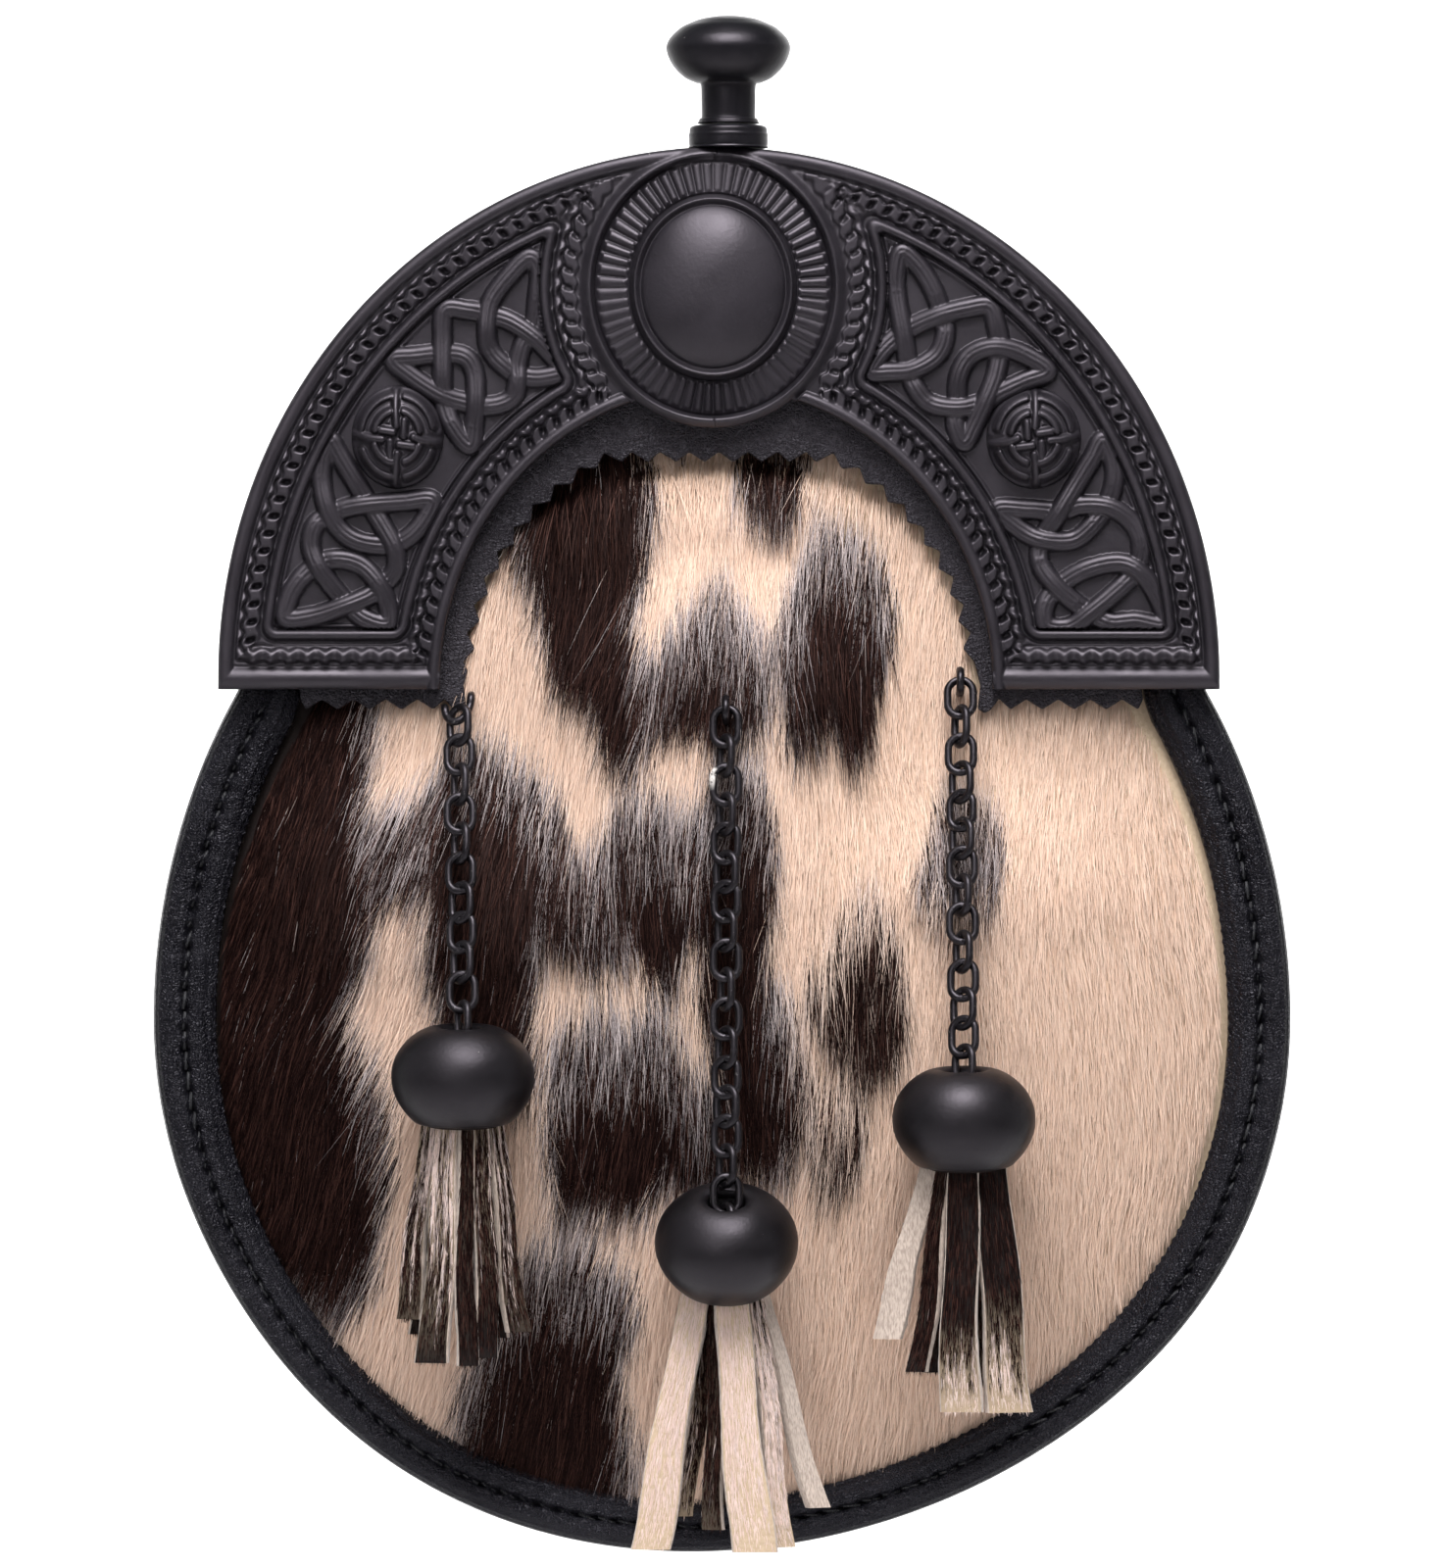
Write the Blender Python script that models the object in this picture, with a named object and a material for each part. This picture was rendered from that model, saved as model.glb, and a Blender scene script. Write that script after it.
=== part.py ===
"""Sporran pouch: hair-on hide front, stitched border, black metal cantle and three chain tassels.

Sizes are in millimetres and MM turns them into metres. The wearer's front is -Y, +Z is up, and the
origin lies midway between the two belt loops on the back, where the strap passes.
"""

import math

import bmesh
import bpy
from mathutils import Matrix, Vector

MM = 0.001
GAP = 0.3  # clearance that neighbouring pieces keep
FLAT_ANGLE = math.radians(0.05)  # faces that turn less than this are one flat

# ---- outline of the leather body, seen from the front
BODY_HALF_WIDTH = 90.2
BODY_CENTRE_Z = -86.8
BODY_BELOW = 84.6
BODY_ABOVE = 99.2
SWAY = 3.9  # the foot of the pouch hangs this far to one side
SWAY_FROM_Z = -119.4
SWAY_LENGTH = 46.5
FOOT_Z = -34.6  # lower edge of the cantle's feet
BACKING_HALF_WIDTH = 77.3  # leather that stands behind the cantle
BACKING_HEIGHT = 82.0
CANTLE_X = -0.5
CANTLE_Z = -32.55

# ---- depth of each layer, as the Y of its faces
STRAP_GAP = 5.5
BACK_Y = -STRAP_GAP / 2
LEATHER = 2.2
BACK_FRONT_Y = BACK_Y - 2.5
FLANGE_BACK_Y = -15.0
FLANGE_Y = FLANGE_BACK_Y - LEATHER
BULGE_RISE = 15.0
BULGE_HALF_WIDTH = 80.6
BULGE_BELOW = 76.3
BULGE_ABOVE = 89.3
BULGE_POWER = 0.85  # below 1 the bulge is fuller than half an egg's
PRESSED_RISE = 2.9  # the cantle holds the hide down to this
PRESSED_EDGE, PRESSED_FADE = 14.5, 11.0
# the hide stops this far inside the outline: behind the cantle, and below this height
HIDE_INSET, HIDE_INSET_BELOW, HIDE_INSET_BELOW_Z = 0.4, 1.4, -16.0
HIDE_RING_SHARES = (0.93, 0.81, 0.65, 0.42, 0.15)  # each ring of the bulge, as a share of its edge
FACING_BACK_Y = FLANGE_Y - 3.5
FACING_Y = FACING_BACK_Y - 1.5
PLATE_BACK_Y = FACING_Y - GAP
PLATE_Y = PLATE_BACK_Y - 2.2

# ---- cantle
CANTLE_HALF_WIDTH = 79.2
CANTLE_HEIGHT = 83.7
ARCH_X, ARCH_Z = -0.9, -34.4
ARCH_HALF_WIDTH, ARCH_HEIGHT = 43.7, 47.4
RIM_WALL, RIM_WALL_AT_FOOT = 3.2, 1.6
SWEEP_STEPS, SWEEP_MARGIN = 22, 0.06  # sections round the arch, and the angle it leaves over each foot
MEDALLION_X, MEDALLION_Z = -1.0, 28.8
MEDALLION_SIDES, MEDALLION_ROOT = 24, 0.4  # its back stands this far behind the plate's
# distance from the cantle's edge, height above its plate
EDGE_PROFILE = ((0.0, -1.2), (0.6, 0.8), (2.2, 0.7), (3.1, 0.2), (8.2, 0.7), (9.3, -0.5))
MEDALLION_BACK = (19.9, 21.9)  # half width and half height where it meets the plate
# half width and half height of each ring of the medallion, height above the plate
MEDALLION_PROFILE = (
    (19.4, 21.4, 1.2), (18.2, 20.2, 0.4), (14.6, 16.0, 1.4), (13.4, 14.7, 3.0), (11.8, 13.0, 2.9),
    (8.4, 9.2, 5.1), (3.6, 4.0, 6.5),
)
# half width factor and height above the plate
BOSS_PROFILE = ((1.0, -1.4), (0.95, 0.9), (0.68, 2.3), (0.25, 3.1))
BOSS_SIDES = 12
BOSSES = ((-51.3, 5.3, 7.2, 8.0), (49.3, 5.1, 7.3, 8.0))  # x, z, half width, half height
STRAND_WIDTH = 2.66
STRAND_RISE = 1.1
CROSSING_STEP = 0.35
STRAND_DIVE = 0.6  # a stretch stops this far short of the crossing that it passes under
STRAND_ROOT = 1.0  # depth of a strand's root in the plate
STRAND_CREST = 0.8  # a strand's crest, as a share of its width
STRAND_DRIFT = 0.025  # each stretch stands this much higher than the one before
SHARP_TURN = math.radians(80)
# each turn and crossing of a knot's one strand: x, z, and 1 over or -1 under
KNOT_UPPER_LEFT = (
    (-30.3, 32.9, 0), (-29.3, 26.0, 0), (-31.4, 20.0, -1), (-32.3, 14.2, 1), (-36.6, 10.1, 0),
    (-40.7, 10.7, -1), (-46.5, 12.9, 0), (-51.6, 17.5, 0), (-44.2, 18.4, -1), (-39.8, 16.4, 0),
    (-38.9, 10.9, 1), (-40.0, 4.4, 0), (-44.0, 11.1, -1), (-44.2, 17.5, 1), (-43.8, 25.3, 0),
    (-36.9, 24.5, -1), (-29.6, 20.9, 1), (-25.2, 15.7, 0), (-32.0, 15.0, -1), (-36.6, 19.0, 0),
    (-36.9, 25.0, 1),
)
KNOT_LOWER_LEFT = (
    (-61.9, 4.4, 0), (-63.3, -1.6, 0), (-62.5, -6.2, 1), (-58.6, -10.8, 0), (-52.4, -11.9, -1),
    (-46.2, -4.9, 0), (-55.9, -5.3, 1), (-62.2, -7.1, -1), (-65.0, -11.9, 0), (-63.6, -15.4, 1),
    (-59.4, -20.9, -1), (-52.7, -24.1, 0), (-54.2, -18.1, 1), (-58.4, -14.4, 0), (-64.1, -15.0, -1),
    (-68.8, -23.0, 0), (-59.7, -21.5, 1), (-53.8, -18.3, -1), (-51.5, -12.2, 1), (-56.0, -5.2, -1),
)
KNOT_UPPER_RIGHT = (
    (28.6, 34.0, 0), (33.5, 28.3, 0), (34.8, 24.5, -1), (33.9, 18.1, 0), (29.6, 15.7, 1),
    (23.9, 15.8, 0), (28.3, 21.6, -1), (34.8, 24.6, 1), (42.2, 25.9, 0), (43.9, 19.6, -1),
    (42.0, 11.6, 1), (38.3, 4.7, 0), (37.1, 10.4, -1), (39.3, 18.1, 0), (43.8, 19.4, 1),
    (51.2, 15.7, 0), (42.2, 11.2, -1), (37.2, 9.9, 1), (31.0, 12.1, 0), (29.6, 16.1, -1),
    (28.4, 21.6, 1), (27.4, 29.0, 0),
)
KNOT_LOWER_RIGHT = (
    (60.2, 4.4, 0), (62.0, -1.8, 0), (60.7, -5.7, -1), (55.5, -11.1, 0), (51.1, -11.2, 1),
    (43.8, -6.2, 0), (53.3, -6.5, -1), (60.9, -5.8, 1), (66.2, -11.6, 0), (65.6, -15.7, -1),
    (58.3, -22.5, 1), (51.6, -24.6, 0), (53.2, -18.5, -1), (58.6, -15.3, 0), (65.6, -15.8, 1),
    (70.2, -24.2, 0), (58.3, -22.3, -1), (52.6, -18.1, 1), (50.6, -11.2, -1), (53.3, -6.4, 1),
)

# ---- knob and collar on top of the cantle: radius, z
KNOB_X, KNOB_Y = 1.0, -21.6
COLLAR_PROFILE = ((5.6, 51.5), (6.2, 52.0), (6.2, 53.5), (5.4, 54.7))
KNOB_PROFILE = (
    (4.6, 55.0), (4.6, 55.5), (4.3, 56.0), (4.4, 61.2), (6.9, 62.3), (9.1, 64.6),
    (9.8, 66.6), (9.4, 68.2), (7.6, 70.2), (4.4, 71.7), (1.2, 72.1),
)

# ---- pinked facing
PINK_PITCH = 4.65
PINK_DEPTH = 1.6
FACING_INSET = 12.5
FACING_HALF_WIDTH, FACING_HEIGHT, FACING_TOP_Z = 39.7, 38.8, 2.2
FOOT_TOOTH_X, FOOT_TOOTH_PITCH = 45.7, 5.05
FOOT_TEETH = 5
FOOT_TIP_Z, FOOT_VALLEY_Z = -37.8, -36.2
# the lobe at a foot's inner corner, from its notch to the arch: distance from the middle, z
FACING_LOBE = ((43.9, -36.1), (42.6, -37.8), (41.6, -38.4), (40.5, -37.7), (40.9, -34.0), (40.3, -31.6))

# ---- border, gusset, back
BORDER_WIDTH, BORDER_WIDTH_BELOW = 9.9, 8.1
BORDER_TOP_Z = -32.0
BORDER_STEPS = 36
# share of the border's width, y
BORDER_PROFILE = (
    (0.0, -13.8), (0.0, -18.9), (0.1, -21.0), (0.29, -21.7), (0.47, -20.6), (0.63, -21.5),
    (0.86, -20.8), (1.0, -19.2), (1.0, -17.55),
)
BORDER_LIP = 0.9
GUSSET_INSET, GUSSET_WALL, GUSSET_FOLD = 2.2, 1.8, 2.4
BACK_INSET = 1.5
MOUTH_HALF_WIDTH = 62.0
MOUTH_BACK_Z, MOUTH_DIP = 26.0, 7.0

# ---- belt loops
LOOP_X, LOOP_WIDTH, LOOP_LEATHER = 28.0, 22.0, 2.0
LOOP_HALF_LENGTH, LOOP_BRIDGE, LOOP_SEAT = 19.0, 10.0, 14.0

# ---- chains, beads and tassels
WIRE = 1.15
LINK_WIDTH, LINK_PITCH = 5.1, 4.75
LINK_BITE = 0.3  # fused, so each link bites a little into the next
STAPLE_REACH, STAPLE_SHOULDER, STAPLE_BEHIND = 5.0, 2.5, 1.4  # its crown, its bend, its legs inside
STAPLE_HOLE = 1.0
LINK_FROM_HIDE = 3.2
# inner and outer outline of a bead: radius, height from its middle
BEAD_OUTSIDE = ((4.0, 7.6), (5.9, 7.4), (9.2, 5.0), (11.2, 1.0), (10.9, -2.6), (8.1, -7.4))
BEAD_INSIDE = ((7.1, -7.4), (9.4, -2.6), (9.7, 0.8), (7.7, 4.2), (4.1, 6.3))
PLUG_RADIUS, PLUG_TOP, PLUG_FOOT = 6.3, -3.6, -10.2
SHANK, SHANK_ROOT = 1.8, 2.0
EYE_PLAY = 0.75  # how far the plug's eye has slipped along the last link
CHAIN_END, CHAIN_FORWARD = 6.1, 0.02  # where the chain ends in the bead's hole; forward per degree of lean
STRAP_THICK = 1.3
STRAP_ROOT, STRAP_GATHER = 1.0, 0.85  # a strap's top inside the plug, and how tightly the tops are gathered
STRAP_NECK = 0.72  # width at the top, as a share of the width at the foot
STRAP_FROM_HIDE = 2.6
STRAP_FALL = 1.6  # how late a strap swings back towards the hide
STRAP_BOW, STRAP_BOW_BEHIND = 1.2, 0.24  # the front straps bow forwards more than those behind
STRAP_UNTURN = 0.3  # share of its turn that a strap loses on its way down
# each tassel: x and z of its staple's feet and crown, the x, stand-off and z of the chain's head, x and z
# of the bead, whether the first link shows its face, the bead's lean in degrees, then its straps:
# x and y at the top, x and z at the foot, width, turn in degrees
TASSELS = {
    "left": {
        "feet": ((-43.9, -37.6), (-39.7, -35.6)), "crown": (-41.6, -39.6), "head": (-41.6, 4.7, -38.0),
        "bead": (-40.6, -95.3), "face_on": False, "lean": 6,
        "straps": (
            (-4.6, 0.6, -8.6, -129.0, 4.6, -20), (-1.6, -3.2, -3.6, -139.4, 5.6, -8),
            (1.6, -3.9, 1.2, -139.0, 5.4, 6), (4.6, -1.4, 6.8, -134.0, 4.8, 24),
            (-3.0, 3.2, -5.0, -136.0, 5.0, 10), (1.0, 2.6, -0.6, -137.5, 5.4, -6),
            (3.8, 2.8, 4.4, -136.5, 5.0, -14),
        ),
    },
    "middle": {
        "feet": ((0.6, -36.1), (0.6, -39.7)), "crown": (0.6, -37.9), "head": (0.6, 3.55, -38.3),
        "bead": (0.7, -121.3), "face_on": True, "lean": 28,
        "straps": (
            (-5.0, -1.2, -11.0, -170.2, 6.2, -14), (-1.8, -3.2, -4.4, -166.8, 5.0, -6),
            (1.6, -4.2, 3.6, -170.5, 7.0, 4), (5.0, -1.6, 9.2, -169.8, 4.8, 22),
            (-2.6, 2.4, -7.2, -165.0, 5.0, 12), (2.2, 2.6, 0.4, -162.5, 5.4, -8),
            (5.2, 2.2, 13.4, -163.4, 4.4, 30),
        ),
    },
    "right": {
        "feet": ((37.7, -31.6), (37.7, -35.2)), "crown": (37.7, -33.4), "head": (37.7, 3.55, -33.8),
        "bead": (37.9, -102.0), "face_on": True, "lean": 6,
        "straps": (
            (-5.2, 0.4, -11.4, -136.8, 4.6, -24), (-2.2, -3.0, -7.0, -141.8, 5.0, -10),
            (1.0, -4.0, 0.6, -148.0, 6.8, 2), (4.8, -1.6, 7.4, -148.4, 6.6, 20),
            (-2.8, 2.8, -3.6, -142.0, 4.6, 8), (2.4, 2.8, 3.4, -144.0, 5.0, -10),
        ),
    },
}

FINISHES = {
    "black_metal": ((0.022, 0.021, 0.025), 0.42, 0.25),
    "chain_metal": ((0.018, 0.017, 0.02), 0.38, 0.4),
    "black_leather": ((0.018, 0.018, 0.021), 0.55, 0.0),
    "hide": ((0.62, 0.52, 0.42), 0.8, 0.0),
    "tassel_hide": ((0.42, 0.34, 0.28), 0.85, 0.0),
}


def finish(name):
    """The material of that name, made the first time it is asked for."""
    if name in bpy.data.materials:
        return bpy.data.materials[name]
    colour, roughness, metallic = FINISHES[name]
    material = bpy.data.materials.new(name)
    material.use_nodes = True
    shader = material.node_tree.nodes["Principled BSDF"]
    shader.inputs["Base Color"].default_value = (*colour, 1)
    shader.inputs["Roughness"].default_value = roughness
    shader.inputs["Metallic"].default_value = metallic
    return material


def solid(name, points, faces, finish_name):
    """A closed mesh object from points in millimetres, faces turned outwards."""
    mesh = bpy.data.meshes.new(name)
    mesh.from_pydata([Vector(point) * MM for point in points], [], faces)
    work = bmesh.new()
    work.from_mesh(mesh)
    bmesh.ops.triangulate(work, faces=work.faces)
    bmesh.ops.recalc_face_normals(work, faces=work.faces)
    work.to_mesh(mesh)
    work.free()
    obj = bpy.data.objects.new(name, mesh)
    bpy.context.scene.collection.objects.link(obj)
    mesh.materials.append(finish(finish_name))
    return obj


def skin(rings, looped=False):
    """Points and faces of a skin over rings of equal length: capped, or closed into a loop."""
    count = len(rings[0])
    points = [point for ring in rings for point in ring]
    faces = []
    for row in range(len(rings) if looped else len(rings) - 1):
        after = (row + 1) % len(rings)
        for k in range(count):
            right = (k + 1) % count
            faces.append((row * count + k, row * count + right, after * count + right, after * count + k))
    if not looped:
        faces.append(tuple(range(count)))
        faces.append(tuple(range((len(rings) - 1) * count, len(rings) * count)))
    return points, faces


def fuse(base, others):
    """One body from the base and the others, which are used up."""
    tools = bpy.data.collections.new("tools")
    for other in others:
        tools.objects.link(other)
    union = base.modifiers.new("fuse", "BOOLEAN")
    union.operation = "UNION"
    union.solver = "EXACT"
    union.operand_type = "COLLECTION"
    union.collection = tools
    settle(base)
    for other in others:
        bpy.data.objects.remove(other, do_unlink=True)
    bpy.data.collections.remove(tools)
    return base


def cut(base, cutters):
    """The base with each cutter taken out of it."""
    for cutter in cutters:
        bite = base.modifiers.new("cut", "BOOLEAN")
        bite.operation = "DIFFERENCE"
        bite.solver = "EXACT"
        bite.object = cutter
    settle(base)
    for cutter in cutters:
        bpy.data.objects.remove(cutter, do_unlink=True)
    return base


def settle(obj):
    """Turns the object's modifiers into its mesh, with as few triangles as its flat faces need."""
    bpy.context.view_layer.update()
    graph = bpy.context.evaluated_depsgraph_get()
    mesh = bpy.data.meshes.new_from_object(obj.evaluated_get(graph))
    obj.modifiers.clear()
    work = bmesh.new()
    work.from_mesh(mesh)
    bmesh.ops.dissolve_limit(work, angle_limit=FLAT_ANGLE, verts=work.verts, edges=work.edges)
    bmesh.ops.triangulate(work, faces=work.faces)
    work.to_mesh(mesh)
    work.free()
    obj.data = mesh


def smooth(t):
    t = min(1.0, max(0.0, t))
    return t * t * (3 - 2 * t)


def turned(profile, centre, sides, lean=0.0):
    """Rings of a turned shape: profile rows are radius and height over the centre."""
    tilt = Matrix.Rotation(math.radians(lean), 3, "X")
    rings = []
    for radius, height in profile:
        ring = []
        for k in range(sides):
            angle = 2 * math.pi * (k + 0.5) / sides
            offset = Vector((radius * math.cos(angle), radius * math.sin(angle), height))
            ring.append(Vector(centre) + tilt @ offset)
        rings.append(ring)
    return rings


def sway(z):
    """How far the outline leans to the wearer's right at this height."""
    return SWAY * (max(0.0, SWAY_FROM_Z - z) / SWAY_LENGTH) ** 2


def body_outline(below_steps, above_steps, backing=BACKING_HALF_WIDTH):
    """The leather's outline: down the right side, round the foot, up the left and over the top."""
    join = math.asin((FOOT_Z - BODY_CENTRE_Z) / BODY_ABOVE)
    outline = []
    for k in range(below_steps + 1):
        angle = join - (math.pi + 2 * join) * k / below_steps
        reach = BODY_BELOW if math.sin(angle) < 0 else BODY_ABOVE
        z = BODY_CENTRE_Z + reach * math.sin(angle)
        outline.append(Vector((BODY_HALF_WIDTH * math.cos(angle) - sway(z), z)))
    for k in range(1, above_steps):
        angle = math.pi * (1 - k / above_steps)
        outline.append(Vector((
            CANTLE_X + backing * math.cos(angle),
            CANTLE_Z + BACKING_HEIGHT * math.sin(angle),
        )))
    return outline


def inset(outline, distance):
    """The closed outline moved inwards; distance is a number or a function of the point."""
    moved = []
    for k, point in enumerate(outline):
        along = (outline[(k + 1) % len(outline)] - outline[k - 1]).normalized()
        inward = Vector((along.y, -along.x))
        reach = distance(point) if callable(distance) else distance
        moved.append(point + inward * reach)
    return moved


def hide_rise(x, z):
    """How far the hide stands in front of its flange."""
    reach = BULGE_BELOW if z < BODY_CENTRE_Z else BULGE_ABOVE
    spread = ((x + sway(z)) / BULGE_HALF_WIDTH) ** 2 + ((z - BODY_CENTRE_Z) / reach) ** 2
    free = BULGE_RISE * max(0.0, 1 - spread) ** BULGE_POWER
    round_arch = math.hypot((x - ARCH_X) / ARCH_HALF_WIDTH, (z - ARCH_Z) / ARCH_HEIGHT) if z > ARCH_Z else (
        abs(x - ARCH_X) / ARCH_HALF_WIDTH)
    under_cantle = min((round_arch - 1) * ARCH_HALF_WIDTH, z - FOOT_Z)
    held = smooth((under_cantle + PRESSED_EDGE + PRESSED_FADE) / PRESSED_FADE)
    return free * (1 - held) + min(free, PRESSED_RISE) * held


def hide_y(x, z):
    return FLANGE_Y - hide_rise(x, z)


def make_front_panel():
    """The domed hide: one wall, its flat flange under the border and behind the cantle."""
    outline = body_outline(28, 14)
    rim = inset(outline, lambda point: HIDE_INSET_BELOW if point.y < HIDE_INSET_BELOW_Z else HIDE_INSET)
    seat = inset(outline, lambda point: border_width(point.y) + 0.2)
    middle = Vector((0.0, BODY_CENTRE_Z + 12))
    front = [[(p.x, FLANGE_Y, p.y) for p in ring] for ring in (rim, seat)]
    for share in HIDE_RING_SHARES:
        ring = [middle + (point - middle) * share for point in seat]
        front.append([(p.x, hide_y(p.x, p.y), p.y) for p in ring])
    back = [[(x, y + LEATHER, z) for x, y, z in ring] for ring in front[::-2]]
    panel = solid("front_panel", *skin(back + front), "hide")
    holes = []
    for tassel in TASSELS.values():
        for x, z in tassel["feet"]:
            drill = turned(((STAPLE_HOLE, -9.0), (STAPLE_HOLE, 9.0)), (0, 0, 0), 8)
            drill = [[(x + p[0], hide_y(x, z) + p[2], z + p[1]) for p in ring] for ring in drill]
            holes.append(solid("hole", *skin(drill), "hide"))
    cut(panel, holes)


def border_width(z):
    low = smooth((BODY_CENTRE_Z - z) / BODY_BELOW)
    return BORDER_WIDTH + (BORDER_WIDTH_BELOW - BORDER_WIDTH) * low


def make_border():
    """The padded border: two rolls with the stitched groove between, and a lip round the edge."""
    whole = body_outline(BORDER_STEPS, 14)
    below = whole[:BORDER_STEPS + 1]
    ends = []
    for point, over in ((below[0], whole[-1]), (below[-1], whole[BORDER_STEPS + 1])):
        ends.append(point.lerp(over, (BORDER_TOP_Z - point.y) / (over.y - point.y)))
    outline = [ends[0], *below, ends[1]]
    rings = []
    for k, point in enumerate(outline):
        before, after = outline[max(k - 1, 0)], outline[min(k + 1, len(outline) - 1)]
        along = (after - before).normalized()
        inward = Vector((along.y, -along.x))
        ring = []
        for share, y in BORDER_PROFILE:
            edge = point + inward * share * border_width(point.y)
            ring.append((edge.x, y, edge.y))
        lip = point + inward * BORDER_LIP
        ring += [(lip.x, FLANGE_Y - GAP, lip.y), (lip.x, BORDER_PROFILE[0][1], lip.y)]
        rings.append(ring)
    solid("edge_binding", *skin(rings), "black_leather")


def make_gusset():
    """The side wall, folded in along its middle and open above the mouth."""
    outline = inset(body_outline(32, 22), GUSSET_INSET)
    split = max(range(len(outline)), key=lambda k: outline[k].y)
    path = outline[split:] + outline[:split]
    path = [point for point in path if abs(point.x) > MOUTH_HALF_WIDTH or point.y < FOOT_Z]
    front, back = FLANGE_BACK_Y + GAP, BACK_FRONT_Y - GAP
    rings = []
    for k, point in enumerate(path):
        before, after = path[max(k - 1, 0)], path[min(k + 1, len(path) - 1)]
        along = (after - before).normalized()
        inward = Vector((along.y, -along.x))
        section = (
            (0.0, back), (GUSSET_FOLD, (front + back) / 2), (0.0, front),
            (GUSSET_WALL, front), (GUSSET_FOLD + GUSSET_WALL, (front + back) / 2), (GUSSET_WALL, back),
        )
        ring = []
        for reach, y in section:
            edge = point + inward * reach
            ring.append((edge.x, y, edge.y))
        rings.append(ring)
    solid("gusset", *skin(rings), "black_leather")


def make_back_panel():
    """The flat back, cut down at the mouth in a shallow dip."""
    outline = inset(body_outline(32, 22), BACK_INSET)
    lowered = []
    for point in outline:
        lip = MOUTH_BACK_Z - MOUTH_DIP * max(0.0, 1 - (point.x / MOUTH_HALF_WIDTH) ** 2)
        lowered.append(Vector((point.x, min(point.y, lip))))
    rings = [[(p.x, y, p.y) for p in lowered] for y in (BACK_Y, BACK_FRONT_Y)]
    solid("back_panel", *skin(rings), "black_leather")


def make_belt_loop(name, x):
    """A strip sewn down at both ends that stands off the back for the strap."""
    seat, bridge = BACK_Y + GAP, STRAP_GAP / 2
    path = (
        (-LOOP_HALF_LENGTH, seat), (-LOOP_SEAT, seat), (-LOOP_BRIDGE, bridge),
        (LOOP_BRIDGE, bridge), (LOOP_SEAT, seat), (LOOP_HALF_LENGTH, seat),
    )
    outside = [(z, y + LOOP_LEATHER) for z, y in path]
    section = [*path, *outside[::-1]]
    rings = [[(x + side * LOOP_WIDTH / 2, y, z) for z, y in section] for side in (-1, 1)]
    solid(name, *skin(rings), "black_leather")


def facing_edge():
    """The facing's pinked edge, from the left foot over the arch to the right foot."""
    edge = []
    teeth = round(math.pi * FACING_HALF_WIDTH / PINK_PITCH)
    for k in range(2 * teeth + 1):
        angle = math.pi * (1 - k / (2 * teeth))
        tooth = PINK_DEPTH / 2 * (1 if k % 2 else -1)
        z = CANTLE_Z + (FACING_HEIGHT + tooth) * math.sin(angle)
        edge.append(((FACING_HALF_WIDTH + tooth) * math.cos(angle) + CANTLE_X, min(z, FACING_TOP_Z + tooth)))
    return edge


def make_facing():
    """The flat leather facing, its pinked edge showing inside the arch and below the feet."""
    over = []
    outer_half = CANTLE_HALF_WIDTH - FACING_INSET
    for k in range(25):
        angle = math.pi * k / 24
        over.append((
            CANTLE_X + outer_half * math.cos(angle),
            CANTLE_Z + (CANTLE_HEIGHT - FACING_INSET) * math.sin(angle),
        ))
    foot = []
    for k in reversed(range(FOOT_TEETH)):
        tip = FOOT_TOOTH_X + FOOT_TOOTH_PITCH * k
        foot += [(min(tip + FOOT_TOOTH_PITCH / 2, outer_half), FOOT_VALLEY_Z), (tip, FOOT_TIP_Z)]
    foot += FACING_LOBE
    outline = over + [(-x, z) for x, z in foot] + facing_edge()[1:-1] + foot[::-1]
    rings = [[(x, y, z) for x, z in outline] for y in (FACING_BACK_Y, FACING_Y)]
    solid("pinked_facing", *skin(rings), "black_leather")


def edge_height(distance):
    """Height of the cantle's moulding at this distance from its nearest edge."""
    for (near, low), (far, high) in zip(EDGE_PROFILE, EDGE_PROFILE[1:]):
        if distance <= far:
            return low + (high - low) * (distance - near) / (far - near)
    return EDGE_PROFILE[-1][1]


def make_cantle():
    """The cast arch: mouldings along every edge, a hollow rim, the medallion, bosses and knots."""
    steps = [distance for distance, _ in EDGE_PROFILE]
    right_foot = [cantle_ring_at_foot(FOOT_Z + distance, 1, steps) for distance in steps]
    left_foot = [cantle_ring_at_foot(FOOT_Z + distance, -1, steps) for distance in reversed(steps)]
    first = math.asin((FOOT_Z + steps[-1] - CANTLE_Z) / CANTLE_HEIGHT) + SWEEP_MARGIN
    sweep = [math.pi * k / SWEEP_STEPS for k in range(SWEEP_STEPS + 1)]
    band = [cantle_ring(angle, steps) for angle in sweep if first < angle < math.pi - first]
    cantle = solid("cantle", *skin(right_foot + band + left_foot), "black_metal")
    pieces = [make_medallion()]
    pieces += [make_boss(*boss) for boss in BOSSES]
    for knot in (KNOT_UPPER_LEFT, KNOT_LOWER_LEFT, KNOT_UPPER_RIGHT, KNOT_LOWER_RIGHT):
        pieces += [make_strand(run, step) for step, run in enumerate(strand_runs(knot))]
    fuse(cantle, pieces)


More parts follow.
